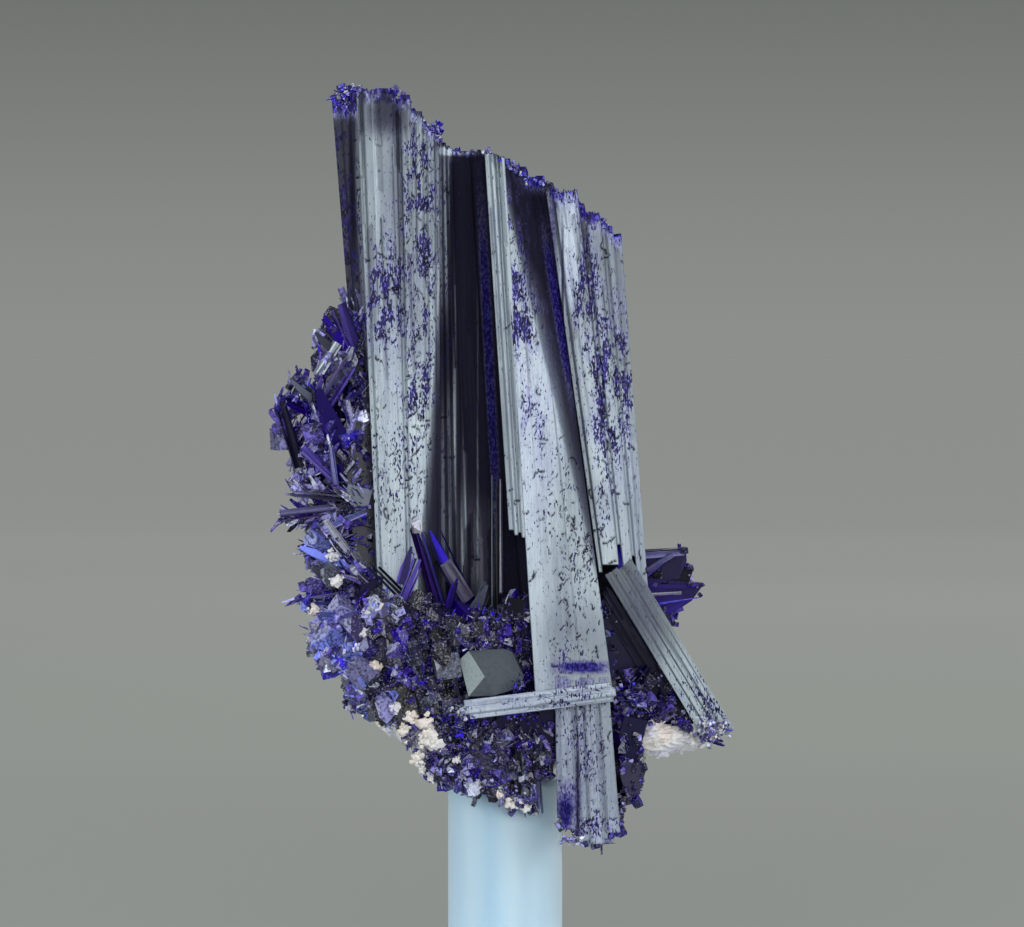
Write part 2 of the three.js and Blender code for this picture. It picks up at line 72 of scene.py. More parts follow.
class EtchedFace:
    """The relief, the painted light and shade, and the blue and etch marks of one tall crystal's face, on a
    fine net of points.
    """

    def __init__(self, left, right, laths, seed, light, net=(0.06, 0.11), calm=(50, 72)):
        self.dice = random.Random(seed)
        self.left, self.right = left, right
        widths = [lath[0] for lath in laths]
        self.top, self.foot = max(lath[2] for lath in laths), min(lath[3] for lath in laths)
        self.width = along(right, MIDDLE) - along(left, MIDDLE)
        self.columns = max(8, round(self.width / net[0]))
        self.rows = round((self.top - self.foot) / net[1])
        self.u = np.linspace(0, 1, self.columns + 1)
        share, self.z = np.meshgrid(self.u, np.linspace(self.foot, self.top, self.rows + 1))
        self.x = mix(along(left, self.z), along(right, self.z), share)
        bounds = np.cumsum([0] + widths) / sum(widths)
        which = np.clip(np.searchsorted(bounds, self.u, side="right") - 1, 0, len(laths) - 1)
        setback = np.array([lath[1] for lath in laths], float)[which]
        self.tops = np.array([lath[2] for lath in laths], float)[which]
        self.feet = np.array([lath[3] for lath in laths], float)[which]
        self.rough = mix(0.2, 1.0, np.clip((self.z - calm[0]) / (calm[1] - calm[0]), 0, 1))
        self.depth = np.repeat(setback[None, :], self.rows + 1, 0) * mix(0.4, 1.0, self.rough)
        # The light map is painted light and shade: laths that stand back are painted darker, as in shade, and
        # the whole is mottled at random.
        self.light = light - np.clip(self.depth, 0, 1) * 0.3
        self.blue, self.etch = np.zeros_like(self.depth), np.zeros_like(self.depth)
        self.light += (mottle(self.light.shape, 90, 34, seed) - 0.5) * 0.16
        self.depth += (mottle(self.light.shape, 130, 50, seed + 1) - 0.5) * 0.1
        self.ribs()

    def ribs(self):
        """Splits the face into narrow ribs, then lays longer and shorter terraces over them, each with a
        little painted light or shade.
        """
        dice, rough = self.dice, self.rough
        place = 0
        while place < 1:
            step = dice.uniform(0.12, 1.1) / self.width
            rib = (self.u >= place) & (self.u < place + step)
            self.depth[:, rib] += dice.uniform(0, 0.055) * rough[:, rib]
            self.light[:, rib] += dice.uniform(-0.12, 0.05) * rough[:, rib]
            self.tops[rib] -= dice.uniform(0, 0.3)
            place += step
        for _ in range(int(self.width * 7)):
            middle = dice.uniform(along(self.left, MIDDLE), along(self.right, MIDDLE))
            low, length = dice.uniform(self.foot, self.top), dice.uniform(2, 15)
            half = dice.uniform(0.04, 0.3)
            slant = dice.uniform(-2.5, 2.5)
            offset = self.x - along(self.left, self.z) - (middle - along(self.left, MIDDLE))
            inside = (abs(offset) < half) & (self.z > low + slant * offset)
            inside &= self.z < low + length - slant * offset
            self.depth[inside] += dice.choice((-0.04, -0.03, 0.03, 0.06, 0.1)) * rough[inside]
            self.light[inside] += dice.uniform(-0.26, 0.1) * rough[inside]
        # Thin furrows, sunk a little and painted dark as shade.
        for _ in range(int(self.width * 3)):
            column = dice.randrange(self.columns)
            low = dice.uniform(0, self.rows)
            line = (slice(int(low), int(low + dice.uniform(10, 150))), slice(column, column + 1))
            self.depth[line] += dice.uniform(0.05, 0.16) * rough[line]
            self.light[line] -= dice.uniform(0.15, 0.6) * rough[line]

    def carve(self, x, z, width, length, lean, cut, dark, tint=0.0):
        """Cuts one small slot into the face."""
        span = along(self.right, z) - along(self.left, z)
        i = round((x - along(self.left, z)) / span * self.columns)
        j = round((z - self.foot) / (self.top - self.foot) * self.rows)
        reach_i = int(length / span * self.columns) + 2
        reach_j = int(length / (self.top - self.foot) * self.rows) + 2
        near = tuple(slice(max(0, at - reach), max(0, at + reach))
                     for at, reach in ((j, reach_j), (i, reach_i)))
        dx, dz = self.x[near] - x, self.z[near] - z
        across = dx * math.cos(lean) - dz * math.sin(lean)
        down = dx * math.sin(lean) + dz * math.cos(lean)
        inside = (abs(across) < width / 2) & (abs(down) < length / 2)
        self.depth[near][inside] += cut
        self.light[near][inside] -= dark
        self.blue[near][inside] += tint

    def pits(self, x, z, wide, high, amount, tint, ticks=0):
        """An etched patch. amount is how crowded the pits are, tint how blue; ticks are larger pits."""
        dice = self.dice
        cloud = np.exp(-(((self.x - x) / wide) ** 2) - ((self.z - z) / high) ** 2)
        patches = np.clip(mottle(self.light.shape, 11, 6, dice.randrange(9999)) * 2.2 - 0.5, 0, 1.2)
        self.etch += amount * cloud * patches
        self.blue += tint * cloud * np.clip(patches - 0.35, 0, 1)
        for _ in range(ticks):
            px, pz = dice.gauss(x, wide * 0.65), dice.gauss(z, high * 0.65)
            self.carve(px, pz, 0.07, dice.uniform(0.18, 0.55), dice.gauss(0.3, 0.6), 0.05,
                       dice.uniform(0.35, 0.9), tint * dice.uniform(0, 0.5))

    def cracks(self, count, low=None, high=None):
        """Hair cracks that wander across the face."""
        dice = self.dice
        for _ in range(count):
            z = dice.uniform(self.foot if low is None else low, self.top - 3 if high is None else high)
            x = dice.uniform(along(self.left, z), along(self.right, z))
            heading = dice.choice((0.0, math.pi)) + dice.uniform(-0.9, 0.9)
            for _ in range(dice.randrange(5, 15)):
                self.carve(x, z, 0.08, 0.16, math.pi / 2 - heading, 0.05, 0.5)
                heading += dice.uniform(-0.8, 0.8)
                x += 0.1 * math.cos(heading)
                z += 0.1 * math.sin(heading)

    def slant(self, at_low, at_high, reach, deep, dark, side=1):
        """A slanting facet beyond a straight line: the face falls back there and is painted dark, as shade
        where it turns from the light.
        """
        t = np.clip((self.x - along((at_low, at_high), self.z)) * side / reach, 0, 1)
        self.depth += deep * t
        self.light = mix(self.light, dark, np.clip(t * 2.2, 0, 1) ** 0.7)

    def shade(self, x, z, wide, high, light=0.0, blue=0.0, lean=0.0):
        """A soft patch of painted light or shade, lighter or darker than the rest, or a patch that is bluer.
        """
        cloud = np.exp(-(((self.x - x - lean * (self.z - z)) / wide) ** 4) - ((self.z - z) / high) ** 4)
        self.light += light * cloud
        self.blue += blue * cloud

    def rim(self, height, amount):
        """The broken top end, where light enters the stone and shows its blue."""
        below = np.clip(1 - (self.tops[None, :] - self.z) / height, 0, 1)
        patches = mottle(self.light.shape, 9, 5, self.dice.randrange(9999))
        self.blue += amount * below * np.clip(patches * 3 - 0.6, 0, 1)
        self.etch += below * 0.7
        self.light += below * (patches - 0.62) * 0.9

    def build(self, bm, front, back, steps=9, place=None):
        """Makes the crystal's mesh: its relief in front, ribbed sides, a broken top and a plain back."""
        dice = self.dice
        facing = -1 if front[0] < back else 1
        row = np.arange(self.rows + 1)[:, None]
        per_row = self.rows / (self.top - self.foot)
        last = np.clip(((self.tops - self.foot) * per_row).astype(int), 1, self.rows)[None, :]
        first = np.clip(((self.feet - self.foot) * per_row).astype(int), 0, self.rows - 1)[None, :]
        held = np.minimum(np.maximum(row, first), last)
        column = np.broadcast_to(np.arange(self.columns + 1)[None, :], held.shape)
        soft = self.depth.copy()
        soft[:, 1:-1] = self.depth[:, :-2] * 0.25 + self.depth[:, 1:-1] * 0.5 + self.depth[:, 2:] * 0.25
        z, depth = self.z[held, column], soft[held, column]
        shades = [np.clip(m[held, column], 0, 1) for m in (self.light, self.blue, self.etch)]
        layers = bm.verts.layers.float
        layers = [layers.get(name) or layers.new(name) for name in ("light", "blue", "etch")]
        before = set(bm.verts)
        net = bmesh.ops.create_grid(bm, x_segments=self.columns, y_segments=self.rows, size=0.5)["verts"]
        for v in net:
            i, j = round((v.co.x + 0.5) * self.columns), round((v.co.y + 0.5) * self.rows)
            height = float(z[j, i])
            x = mix(along(self.left, height), along(self.right, height), i / self.columns)
            y = along(front, height) - facing * min(float(depth[j, i]), abs(back - front[0]) - 0.3)
            for layer, shade in zip(layers, shades):
                v[layer] = float(shade[j, i])
            v.co = (x, y, height)
        bmesh.ops.remove_doubles(bm, verts=net, dist=0.004)
        rim = [e for e in bm.edges if e.is_boundary and not (set(e.verts) & before)]
        # Each step of the ribbed sides gets its own painted light, drawn towards a mid shade as for faces
        # turned from the light; at the broken top it turns a little bluer.
        for step in range(steps):
            made = bmesh.ops.extrude_edge_only(bm, edges=rim)["geom"]
            rim = [g for g in made if isinstance(g, bmesh.types.BMEdge) and g.is_boundary]
            inset, drop, tone = dice.uniform(-0.07, 0.12), dice.uniform(-0.3, 0.2), dice.uniform(0.75, 1.15)
            for v in (g for g in made if isinstance(g, bmesh.types.BMVert)):
                middle = (along(self.left, v.co.z) + along(self.right, v.co.z)) / 2
                reach = (v.co.x - middle) / (self.width / 2)
                if abs(reach) > 0.9:
                    v.co.x -= math.copysign(inset, reach)
                elif v.co.z > (self.top + self.foot) / 2:
                    v.co.z += drop + dice.uniform(-0.1, 0.1)
                    v[layers[1]] = min(1, v[layers[1]] + dice.uniform(0, 0.25))
                v.co.y = mix(v.co.y, back, 1 / (steps - step))
                v[layers[0]] = mix(v[layers[0]] * tone, 0.35, 0.25)
        bmesh.ops.holes_fill(bm, edges=rim, sides=0)
        if place:
            bmesh.ops.transform(bm, matrix=place, verts=[v for v in bm.verts if v not in before])


def laid(root, tip):
    """Turns an upright crystal that starts at height 0 so that it runs from root to tip."""
    up = (Vector(tip) - Vector(root)).normalized()
    inward = (Vector((0, 1, 0)) - up * up.y).normalized()
    return Matrix.Translation(root) @ Matrix((inward.cross(up), inward, up)).transposed().to_4x4()


def new_object(name, data):
    made = bpy.data.objects.new(name, data)
    bpy.context.scene.collection.objects.link(made)
    return made


def as_mesh(bm, name):
    mesh = bpy.data.meshes.new(name)
    bm.to_mesh(mesh)
    bm.free()
    return mesh


def finish_mesh(bm, name, material, nodes, soft=False):
    """Turns the millimetre mesh into a piece of the object. soft smooths the faces that look forward."""
    bmesh.ops.recalc_face_normals(bm, faces=bm.faces)
    bmesh.ops.scale(bm, vec=(MM, MM, MM), verts=bm.verts)
    piece = new_object(name, as_mesh(bm, name))
    piece.data.materials.append(material)
    for polygon in piece.data.polygons:
        polygon.use_smooth = soft and polygon.normal.y < -0.4
    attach(piece, "root")
    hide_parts(*nodes)
    return piece


def new_material(name):
    material = bpy.data.materials.new(name)
    material.use_nodes = True
    nodes, links = material.node_tree.nodes, material.node_tree.links
    return material, nodes, links, nodes["Principled BSDF"]


def noise_node(nodes, links, scale, detail=3.0):
    """Noise over the object's own coordinates, in metres, with its own stretch along each axis."""
    place, mapping = nodes.new("ShaderNodeTexCoord"), nodes.new("ShaderNodeMapping")
    noise = nodes.new("ShaderNodeTexNoise")
    mapping.inputs["Scale"].default_value = scale
    noise.inputs["Scale"].default_value = 1.0
    noise.inputs["Detail"].default_value = detail
    links.new(place.outputs["Object"], mapping.inputs["Vector"])
    links.new(mapping.outputs["Vector"], noise.inputs["Vector"])
    return noise.outputs["Fac"]


def ramp_node(nodes, links, source, stops):
    """Turns a value into a colour by stops, each a position and a colour or a plain number."""
    ramp = nodes.new("ShaderNodeValToRGB")
    elements = ramp.color_ramp.elements
    stops = [(position, (*colour, 1) if isinstance(colour, tuple) else (colour,) * 3 + (1,))
             for position, colour in stops]
    for element, (position, colour) in zip(elements, (stops[0], stops[-1])):
        element.position, element.color = position, colour
    for position, colour in stops[1:-1]:
        elements.new(position).color = colour
    links.new(source, ramp.inputs["Fac"])
    return ramp.outputs["Color"]


def mix_node(nodes, links, kind, factor, a, b):
    """Mixes two colours; each input is a node's output or a plain value."""
    node = nodes.new("ShaderNodeMix")
    node.data_type, node.blend_type = "RGBA", kind
    for socket, value in ((node.inputs[0], factor), (node.inputs[6], a), (node.inputs[7], b)):
        if isinstance(value, bpy.types.NodeSocket):
            links.new(value, socket)
        else:
            socket.default_value = value
    return node.outputs[2]


def attribute_node(nodes, name, output="Fac"):
    node = nodes.new("ShaderNodeAttribute")
    node.attribute_name = name
    return node.outputs[output]


def bump_node(nodes, links, height, strength, distance, under=None):
    """Makes the surface look raised where height is high; under is the normal of a coarser bump."""
    bump = nodes.new("ShaderNodeBump")
    bump.inputs["Strength"].default_value = strength
    bump.inputs["Distance"].default_value = distance
    links.new(height, bump.inputs["Height"])
    if under is not None:
        links.new(under, bump.inputs["Normal"])
    return bump


def crystal_face_material():
    """The light map paints a steel-grey reflection of the lamps on the flat faces and ink as shade in the
    furrows; blue where the stone is etched or thin.
    """
    material, nodes, links, shader = new_material("azurite_face")
    light = attribute_node(nodes, "light")
    # Painted light: near black where the face is painted as in shade, up to the steel grey of a painted
    # reflection.
    painted_sheen = ramp_node(nodes, links, light, (
        (0.0, (0.008, 0.007, 0.022)), (0.25, (0.026, 0.026, 0.048)), (0.5, (0.095, 0.105, 0.140)),
        (0.75, (0.240, 0.281, 0.322)), (1.0, (0.430, 0.500, 0.555)),
    ))
    fibres = noise_node(nodes, links, (9000, 9000, 260), 4)
    clouds = noise_node(nodes, links, (420, 420, 150), 3)
    for pattern, stops in ((fibres, ((0.35, (0.90, 0.90, 0.91)), (0.6, 1.05))),
                           (clouds, ((0.35, (0.84, 0.84, 0.90)), (0.65, (1.06, 1.07, 1.03))))):
        painted_sheen = mix_node(nodes, links, "MULTIPLY", 1.0, painted_sheen, ramp_node(nodes, links, pattern, stops))
    grain = noise_node(nodes, links, (5600, 5600, 3200), 2)
    lavender = ramp_node(nodes, links, grain, (
        (0.36, (0.050, 0.030, 0.330)), (0.48, (0.200, 0.190, 0.560)), (0.60, (0.400, 0.420, 0.680)),
    ))
    royal = ramp_node(nodes, links, grain, (
        (0.36, (0.010, 0.002, 0.110)), (0.50, (0.032, 0.012, 0.460)), (0.64, (0.170, 0.150, 0.660)),
    ))
    blue = attribute_node(nodes, "blue")
    strong = ramp_node(nodes, links, blue, ((0.5, 0), (0.8, 1)))
    tinge = mix_node(nodes, links, "MIX", strong, lavender, royal)
    # The blue is painted darker too where the face is painted as in shade.
    tinge = mix_node(nodes, links, "MULTIPLY", 1.0, tinge,
                     ramp_node(nodes, links, light, ((0.0, (0.25, 0.25, 0.3)), (0.45, 1))))
    base = mix_node(nodes, links, "MIX", blue, painted_sheen, tinge)
    ticks = noise_node(nodes, links, (7400, 7400, 2700), 2)
    crowd = nodes.new("ShaderNodeMath")
    crowd.operation = "MULTIPLY_ADD"
    crowd.inputs[1].default_value = ETCH_REACH
    links.new(attribute_node(nodes, "etch"), crowd.inputs[0])
    links.new(ticks, crowd.inputs[2])
    pitted = ramp_node(nodes, links, crowd.outputs[0], ((0.665, 0), (0.70, 1)))
    hue = noise_node(nodes, links, (2300, 2300, 1500), 1)
    pit = ramp_node(nodes, links, hue, ((0.42, (0.006, 0.005, 0.024)), (0.58, (0.022, 0.015, 0.140))))
    links.new(mix_node(nodes, links, "MIX", pitted, base, pit), shader.inputs["Base Color"])
    links.new(ramp_node(nodes, links, light, ((0.1, 0), (0.9, 0.42))), shader.inputs["Metallic"])
    links.new(ramp_node(nodes, links, light, ((0.05, 0.9), (0.5, 0.40))), shader.inputs["Roughness"])
    shader.inputs["IOR"].default_value = 1.45
    shader.inputs["Specular IOR Level"].default_value = 0.28
    grooves = bump_node(nodes, links, fibres, 0.14, 0.04 * MM)
    hollows = bump_node(nodes, links, pitted, 0.5, 0.06 * MM, grooves.outputs["Normal"])
    hollows.invert = True
    links.new(hollows.outputs["Normal"], shader.inputs["Normal"])
    return material


# How far the etch marks of a face widen the pits.
ETCH_REACH = 0.235
azurite_face = crystal_face_material()

# The left crystal and its flank, painted darker as the side turned from the light: a broad clean lath, then
# narrower ones that end lower and lower.
bm = bmesh.new()
face = EtchedFace((-11.0, -12.9), (-5.55, -5.75), (
    (6, 0.3, 80.9, 33), (32, 0, 80.7, 33), (4, 0.35, 79.9, 33), (10, 0.12, 80.2, 33), (12, 0.22, 78.9, 33),
    (4, 0.4, 78.0, 33), (8, 0.2, 77.4, 33), (4, 0.5, 76.5, 33)), 3, 0.84)
# Painted shade where the face slants back at the right and along its top, and a little painted light lower
# down.
face.slant(-7.7, -4.4, 1.5, 1.3, 0.18)
face.shade(-10.1, 79.2, 2.0, 2.6, light=-0.4)
face.shade(-9.0, 45.0, 3.0, 12.0, light=0.1)
face.shade(-9.6, 72.0, 1.8, 7.0, light=-0.12)
face.shade(-8.5, 80.5, 2.0, 0.9, light=-0.2, blue=0.5)
face.pits(-7.3, 71.5, 1.6, 6.8, 1.4, 0.8, 70)
face.pits(-6.9, 62.0, 0.8, 5.0, 0.7, 0.3, 20)
face.pits(-10.3, 62.8, 1.6, 3.8, 1.6, 1.1, 60)
face.pits(-7.7, 55.0, 1.4, 4.8, 1.2, 0.7, 60)
face.pits(-9.2, 46.6, 2.2, 4.6, 0.6, 0.0, 50)
face.pits(-11.6, 50.0, 0.7, 5.0, 0.5, 0.1, 20)
face.cracks(20, 36, 66)
face.rim(1.5, 0.9)
face.build(bm, (-6.6, -5.8), 1.2)
face = EtchedFace((-11.7, -15.2), (-10.85, -12.65), (
    (8, 2.0, 80.3, 44), (9, 0.7, 80.9, 34), (10, -1.6, 80.4, 33)), 7, 0.68, (0.07, 0.12), (20, 30))
face.pits(-13.9, 70.0, 1.6, 11.0, 1.1, 0.12, 90)
face.pits(-12.6, 50.0, 1.2, 9.0, 0.6, 0.2, 30)
face.shade(-14.0, 79.7, 1.6, 1.5, light=0.3, blue=0.75)
face.shade(-13.3, 74.0, 0.3, 8.0, light=-0.35)
face.shade(-12.0, 47.0, 2.5, 14.0, light=-0.2)
face.rim(2.2, 1.0)
face.build(bm, (-3.0, -2.4), 3.6, 7)
finish_mesh(bm, "left_crystal", azurite_face, ["azurite"], True)

# The recessed crystal stands back between its neighbours and hardly catches the light, so it is painted near
# black as shade, with painted light on the few laths and edges that catch some.
bm = bmesh.new()
face = EtchedFace((-5.7, -5.9), (2.6, -1.7), (
    (4, -2.3, 76.2, 31), (4, -1.3, 76.0, 31), (5, -0.3, 75.7, 31), (16, 0, 75.5, 31), (12, 0.3, 75.4, 31),
    (7, -0.8, 75.2, 31)), 13, 0.0, (0.07, 0.14), (20, 30))
face.shade(-5.3, 69.0, 0.62, 9.0, light=0.75)
face.shade(-5.0, 46.0, 0.8, 10.0, light=0.5)
face.shade(-3.6, 44.0, 0.25, 7.0, light=0.5)
face.shade(-2.6, 40.5, 1.7, 5.0, light=0.34)
face.shade(-4.4, 56.0, 0.15, 12.0, light=0.45)
face.shade(-0.6, 41.0, 0.45, 4.2, light=0.5)
face.shade(-2.4, 52.0, 0.08, 14.0, light=0.5)
face.shade(-1.4, 57.0, 0.42, 14.0, blue=0.95, lean=-0.05)
face.shade(-4.0, 75.2, 2.6, 0.4, light=0.75)
face.pits(-5.2, 62.0, 0.8, 14.0, 0.6, 0.1, 20)
face.cracks(10)
face.rim(0.6, 0.5)
face.light *= 0.9
face.build(bm, (-2.6, -2.2), 2.4)
finish_mesh(bm, "recessed_crystal", azurite_face, ["azurite"], True)

# The centre crystal stands proudest. A slanting facet, painted dark as shade, takes its right side away
# towards the top, its left edge ends in a step, and its foot hangs down in front of the post to the stone's
# lowest point.
bm = bmesh.new()
face = EtchedFace((0.75, -2.1), (2.35, -0.4), (
    (5, 0.35, 75.3, 42.3), (4, 0, 75.1, 41.9), (3, 0.3, 75.0, 42.1), (6, 0.05, 74.8, 41.6)), 19, 0.88)
face.shade(1.2, 62.0, 0.12, 12.0, light=-0.6)
face.cracks(5)
face.rim(0.6, 0.4)
face.build(bm, (-7.7, -6.3), 0.6)
face = EtchedFace((2.1, -0.7), (8.3, 2.5), (
    (10, 0, 74.6, 27.6), (18, 0.08, 73.9, 27.6), (17, 0, 73.2, 27.6)), 23, 0.88)
# Patches of painted light and shade where the face catches more or less of the lamps, painted shade on the
# slanting facet and along the step near the foot, and painted light with the blue at the top.
face.shade(2.6, 51.5, 2.2, 10.0, light=0.12, blue=0.1)
face.shade(6.0, 32.0, 3.4, 3.6, light=-0.14)
face.slant(8.44, -2.16, 3.2, 3.7, 0.03)
face.pits(0.7, 66.5, 1.2, 5.0, 1.15, 1.2, 60)
face.pits(1.6, 60.0, 1.7, 2.8, 1.0, 0.8, 30)
face.pits(2.6, 52.5, 1.4, 3.0, 0.5, 0.5, 10)
face.pits(6.6, 40.0, 1.2, 3.8, 0.6, 0.0, 90)
face.pits(4.4, 45.0, 2.0, 5.0, 0.35, 0.0, 40)
face.pits(5.8, 31.5, 1.8, 3.0, 0.45, 0.1, 30)
face.shade(6.6, 30.4, 2.2, 0.5, light=-0.6, blue=0.9)
face.shade(4.7, 61.0, 0.5, 7.5, blue=1.0, light=0.12, lean=-0.17)
face.shade(1.5, 70.0, 1.1, 4.6, light=-0.32, lean=-0.2)
face.shade(3.0, 73.2, 1.8, 1.5, light=0.4, blue=0.8)
face.cracks(30, 28, 62)
face.rim(1.4, 1.0)
face.build(bm, (-7.9, -6.2), 0.8)
face = EtchedFace((4.2, 3.5), (8.4, 4.9), (
    (4, 0.25, 29.7, 17.4), (11, 0.1, 29.7, 16.4), (3, 0.5, 29.7, 15.9), (7, 0.2, 29.7, 15.4),
    (9, 0, 29.7, 15.1), (4, 0.4, 29.7, 15.6), (9, 0.2, 29.7, 16.1)), 29, 0.84, (0.06, 0.09), (24, 60))
face.pits(6.4, 23.0, 2.2, 5.0, 0.6, 0.1, 40)
face.pits(6.8, 16.9, 2.4, 1.5, 1.0, 0.8, 30)
face.shade(5.6, 18.6, 0.9, 1.8, light=-0.35, blue=0.4)
face.shade(6.3, 19.0, 0.12, 4.5, light=-0.7)
face.shade(6.4, 22.0, 3.0, 8.0, blue=0.12)
face.shade(6.4, 28.8, 3.0, 1.0, light=-0.12, blue=0.35)
face.shade(4.9, 17.6, 0.9, 1.6, light=-0.45, blue=0.4)
face.cracks(9)
face.build(bm, (-8.2, -7.4), -5.4, 4)
finish_mesh(bm, "centre_crystal", azurite_face, ["azurite"], True)

# The right crystal ends lower, in a broken slope of laths above and in small points below.
bm = bmesh.new()
face = EtchedFace((8.5, 2.4), (12.5, 9.2), (
    (6, 0.6, 72.6, 38.6), (24, 0, 71.9, 39.2), (5, 0.4, 70.7, 41.0), (14, 0.1, 70.0, 38.6),
    (4, 0.35, 69.4, 40.0), (7, 0.15, 68.9, 38.4), (8, 0.4, 68.1, 34.8)), 31, 0.84)
face.pits(9.3, 54.6, 1.9, 5.8, 1.5, 1.1, 120)
face.pits(7.0, 63.0, 1.1, 5.5, 1.2, 0.7, 40)
face.pits(8.6, 46.0, 0.6, 4.0, 0.7, 0.3, 20)
# A painted dark line and painted shade along the left edge, by the groove, and painted light on a lath higher
# up and on the middle of the face.
face.shade(4.1, 64.0, 0.3, 8.0, light=-0.3, blue=0.5)
face.shade(5.0, 61.0, 0.12, 10.0, light=-0.6)
face.shade(5.5, 66.4, 0.8, 5.2, light=0.5, blue=0.12)
face.shade(9.0, 45.0, 2.4, 7.0, light=0.14)
face.shade(7.6, 70.2, 1.3, 1.0, light=-0.1, blue=0.6)
face.cracks(16)
face.rim(1.8, 1.0)
face.build(bm, (-6.2, -4.7), 1.8)
finish_mesh(bm, "right_crystal", azurite_face, ["azurite"], True)

# Two striated crystals lie over the foot: one painted a steel grey, as a reflection, slants down at the
# right, with one under it painted darker as shade, and a lath painted pale, as lit, crosses the front.
bm = bmesh.new()
face = EtchedFace((-0.6, -0.6), (2.1, 2.1), (
    (6, 0.05, 17.6, 0.4), (5, 0, 17.7, 0.2), (4, 0.15, 17.5, 0.6), (8, 0.02, 17.6, 0)),
    61, 1.0, (0.06, 0.1), (30, 60))
# Painted shade on the upper end and in dark lines down the lower end.
face.shade(0.5, 14.5, 3.0, 6.0, light=-0.42)
for at, tall in ((0.1, 5.0), (0.75, 6.5), (1.3, 4.5), (1.75, 5.5)):
    face.shade(at, 4.5, 0.05, tall, light=-0.6)
face.pits(1.0, 3.0, 1.6, 3.0, 0.8, 0.3, 40)
face.build(bm, (-1.0, -1.0), 1.0, 5, laid((18.1, -3.9, 23.8), (9.0, -5.7, 38.9)))
face = EtchedFace((-2.1, -2.1), (-0.5, -0.5), (
    (5, 0.3, 15.6, 1.0), (6, 0.1, 16.2, 1.4)), 67, 0.25, (0.06, 0.1), (0, 1))
face.build(bm, (-0.4, -0.4), 1.2, 4, laid((17.9, -3.1, 23.8), (8.8, -6.0, 38.7)))
face = EtchedFace((-0.85, -0.85), (0.85, 0.85), (
    (7, 0.1, 13.6, 0.5), (8, 0, 13.7, 0), (6, 0.12, 13.5, 0.9)), 71, 1.0, (0.06, 0.09), (20, 60))
face.pits(0.0, 9.0, 1.0, 4.0, 0.7, 0.1, 30)
face.shade(0.0, 7.0, 3.0, 9.0, blue=0.15)
face.build(bm, (-0.55, -0.55), 0.6, 4, laid((-3.9, -8.6, 26.7), (9.6, -9.4, 28.4)))
face = EtchedFace((0.8, 0.8), (2.9, 2.9), (
    (4, 0.4, 24.6, 19.4), (6, 0, 24.6, 18.8), (5, 0.3, 24.6, 18.6)), 73, 0.55, (0.07, 0.1), (0, 1))
face.build(bm, (-8.0, -8.0), -5.4, 4)
finish_mesh(bm, "lying_crystals", azurite_face, ["azurite"], True)

# The back is four more crystals of the same bundle, with coarser ribs.
bm = bmesh.new()
INNER = 0.6
for left, right, front, tops, foot, seed in (
    ((-11.6, -15.0), (-5.0, -8.0), (5.0, 4.7), (79.6, 78.2), 31.0, 41),
    ((-5.3, -8.4), (1.2, -1.8), (4.3, 4.0), (77.4, 74.9), 30.0, 43),
    ((0.8, -2.2), (7.2, 4.4), (5.3, 4.9), (73.9, 71.9), 29.0, 47),
    ((6.8, 4.0), (12.2, 9.0), (4.5, 4.1), (70.6, 67.8), 29.5, 53),
):
    dice = random.Random(seed)
    laths = [(dice.uniform(4, 16), dice.uniform(0, 0.6), mix(*tops, k / 6) - dice.uniform(0, 0.7),
              foot + dice.uniform(0, 2)) for k in range(7)]
    face = EtchedFace(left, right, laths, seed, 0.74, (0.13, 0.26))
    face.pits(mix(left[0], right[1], 0.5), 58, 3.0, 16.0, 0.8, 0.5, 60)
    face.cracks(12)
    face.rim(1.8, 0.9)
    face.build(bm, front, INNER, 6)
finish_mesh(bm, "back_crystals", azurite_face, ["azurite"])

# Small crystals
# Sprays and crusts of blades a millimetre or two long cover the foot, the left flank, the back of the base
# and the broken top. Thick ones look like ink and thin ones violet blue; faces that would catch the light are
# painted pale or grey, as highlights and reflections.
INK = (0.006, 0.005, 0.036)
DEEP = (0.014, 0.002, 0.190)
ROYAL = (0.030, 0.010, 0.600)
VIOLET = (0.090, 0.065, 0.380)
LAVENDER = (0.290, 0.280, 0.620)
SKY = (0.160, 0.200, 0.680)
# The steel and slate greys are painted light: the grey that a dark blue face shows where it reflects the
# lamps, slate for highlights.
STEEL_SHEEN = (0.095, 0.105, 0.150)
SLATE_HIGHLIGHT = (0.220, 0.250, 0.320)
# Pale is the whitish colour of the frosted crust, and also the colour that painted highlights are mixed
# towards.
PALE = (0.560, 0.590, 0.740)


def as_template(bm):
    """Keeps a small crystal as a mesh that can be placed again and again, each time with its own colours."""
    mesh = as_mesh(bm, "template")
    mesh.attributes.new("tint", "FLOAT_COLOR", "CORNER")
    mesh.attributes.new("matt", "FLOAT", "CORNER")
    rest = np.array([v.co for v in mesh.vertices])
    normals = np.array([p.normal for p in mesh.polygons])
    return mesh, rest, normals, np.repeat(np.arange(len(normals)), [len(p.vertices) for p in mesh.polygons])


def put_template(bm, template, place, shades, matt):
    """Adds a placed copy of the template, with one colour and one mattness for each of its faces."""
    mesh, rest, normals, owner = template
    moved = rest @ np.array(place.to_3x3()).T + np.array(place.translation)
    mesh.vertices.foreach_set("co", moved.ravel())
    colours = np.c_[shades, np.ones(len(shades))][owner]
    mesh.attributes["tint"].data.foreach_set("color", colours.ravel())
    mesh.attributes["matt"].data.foreach_set("value", matt[owner])
    bm.from_mesh(mesh)


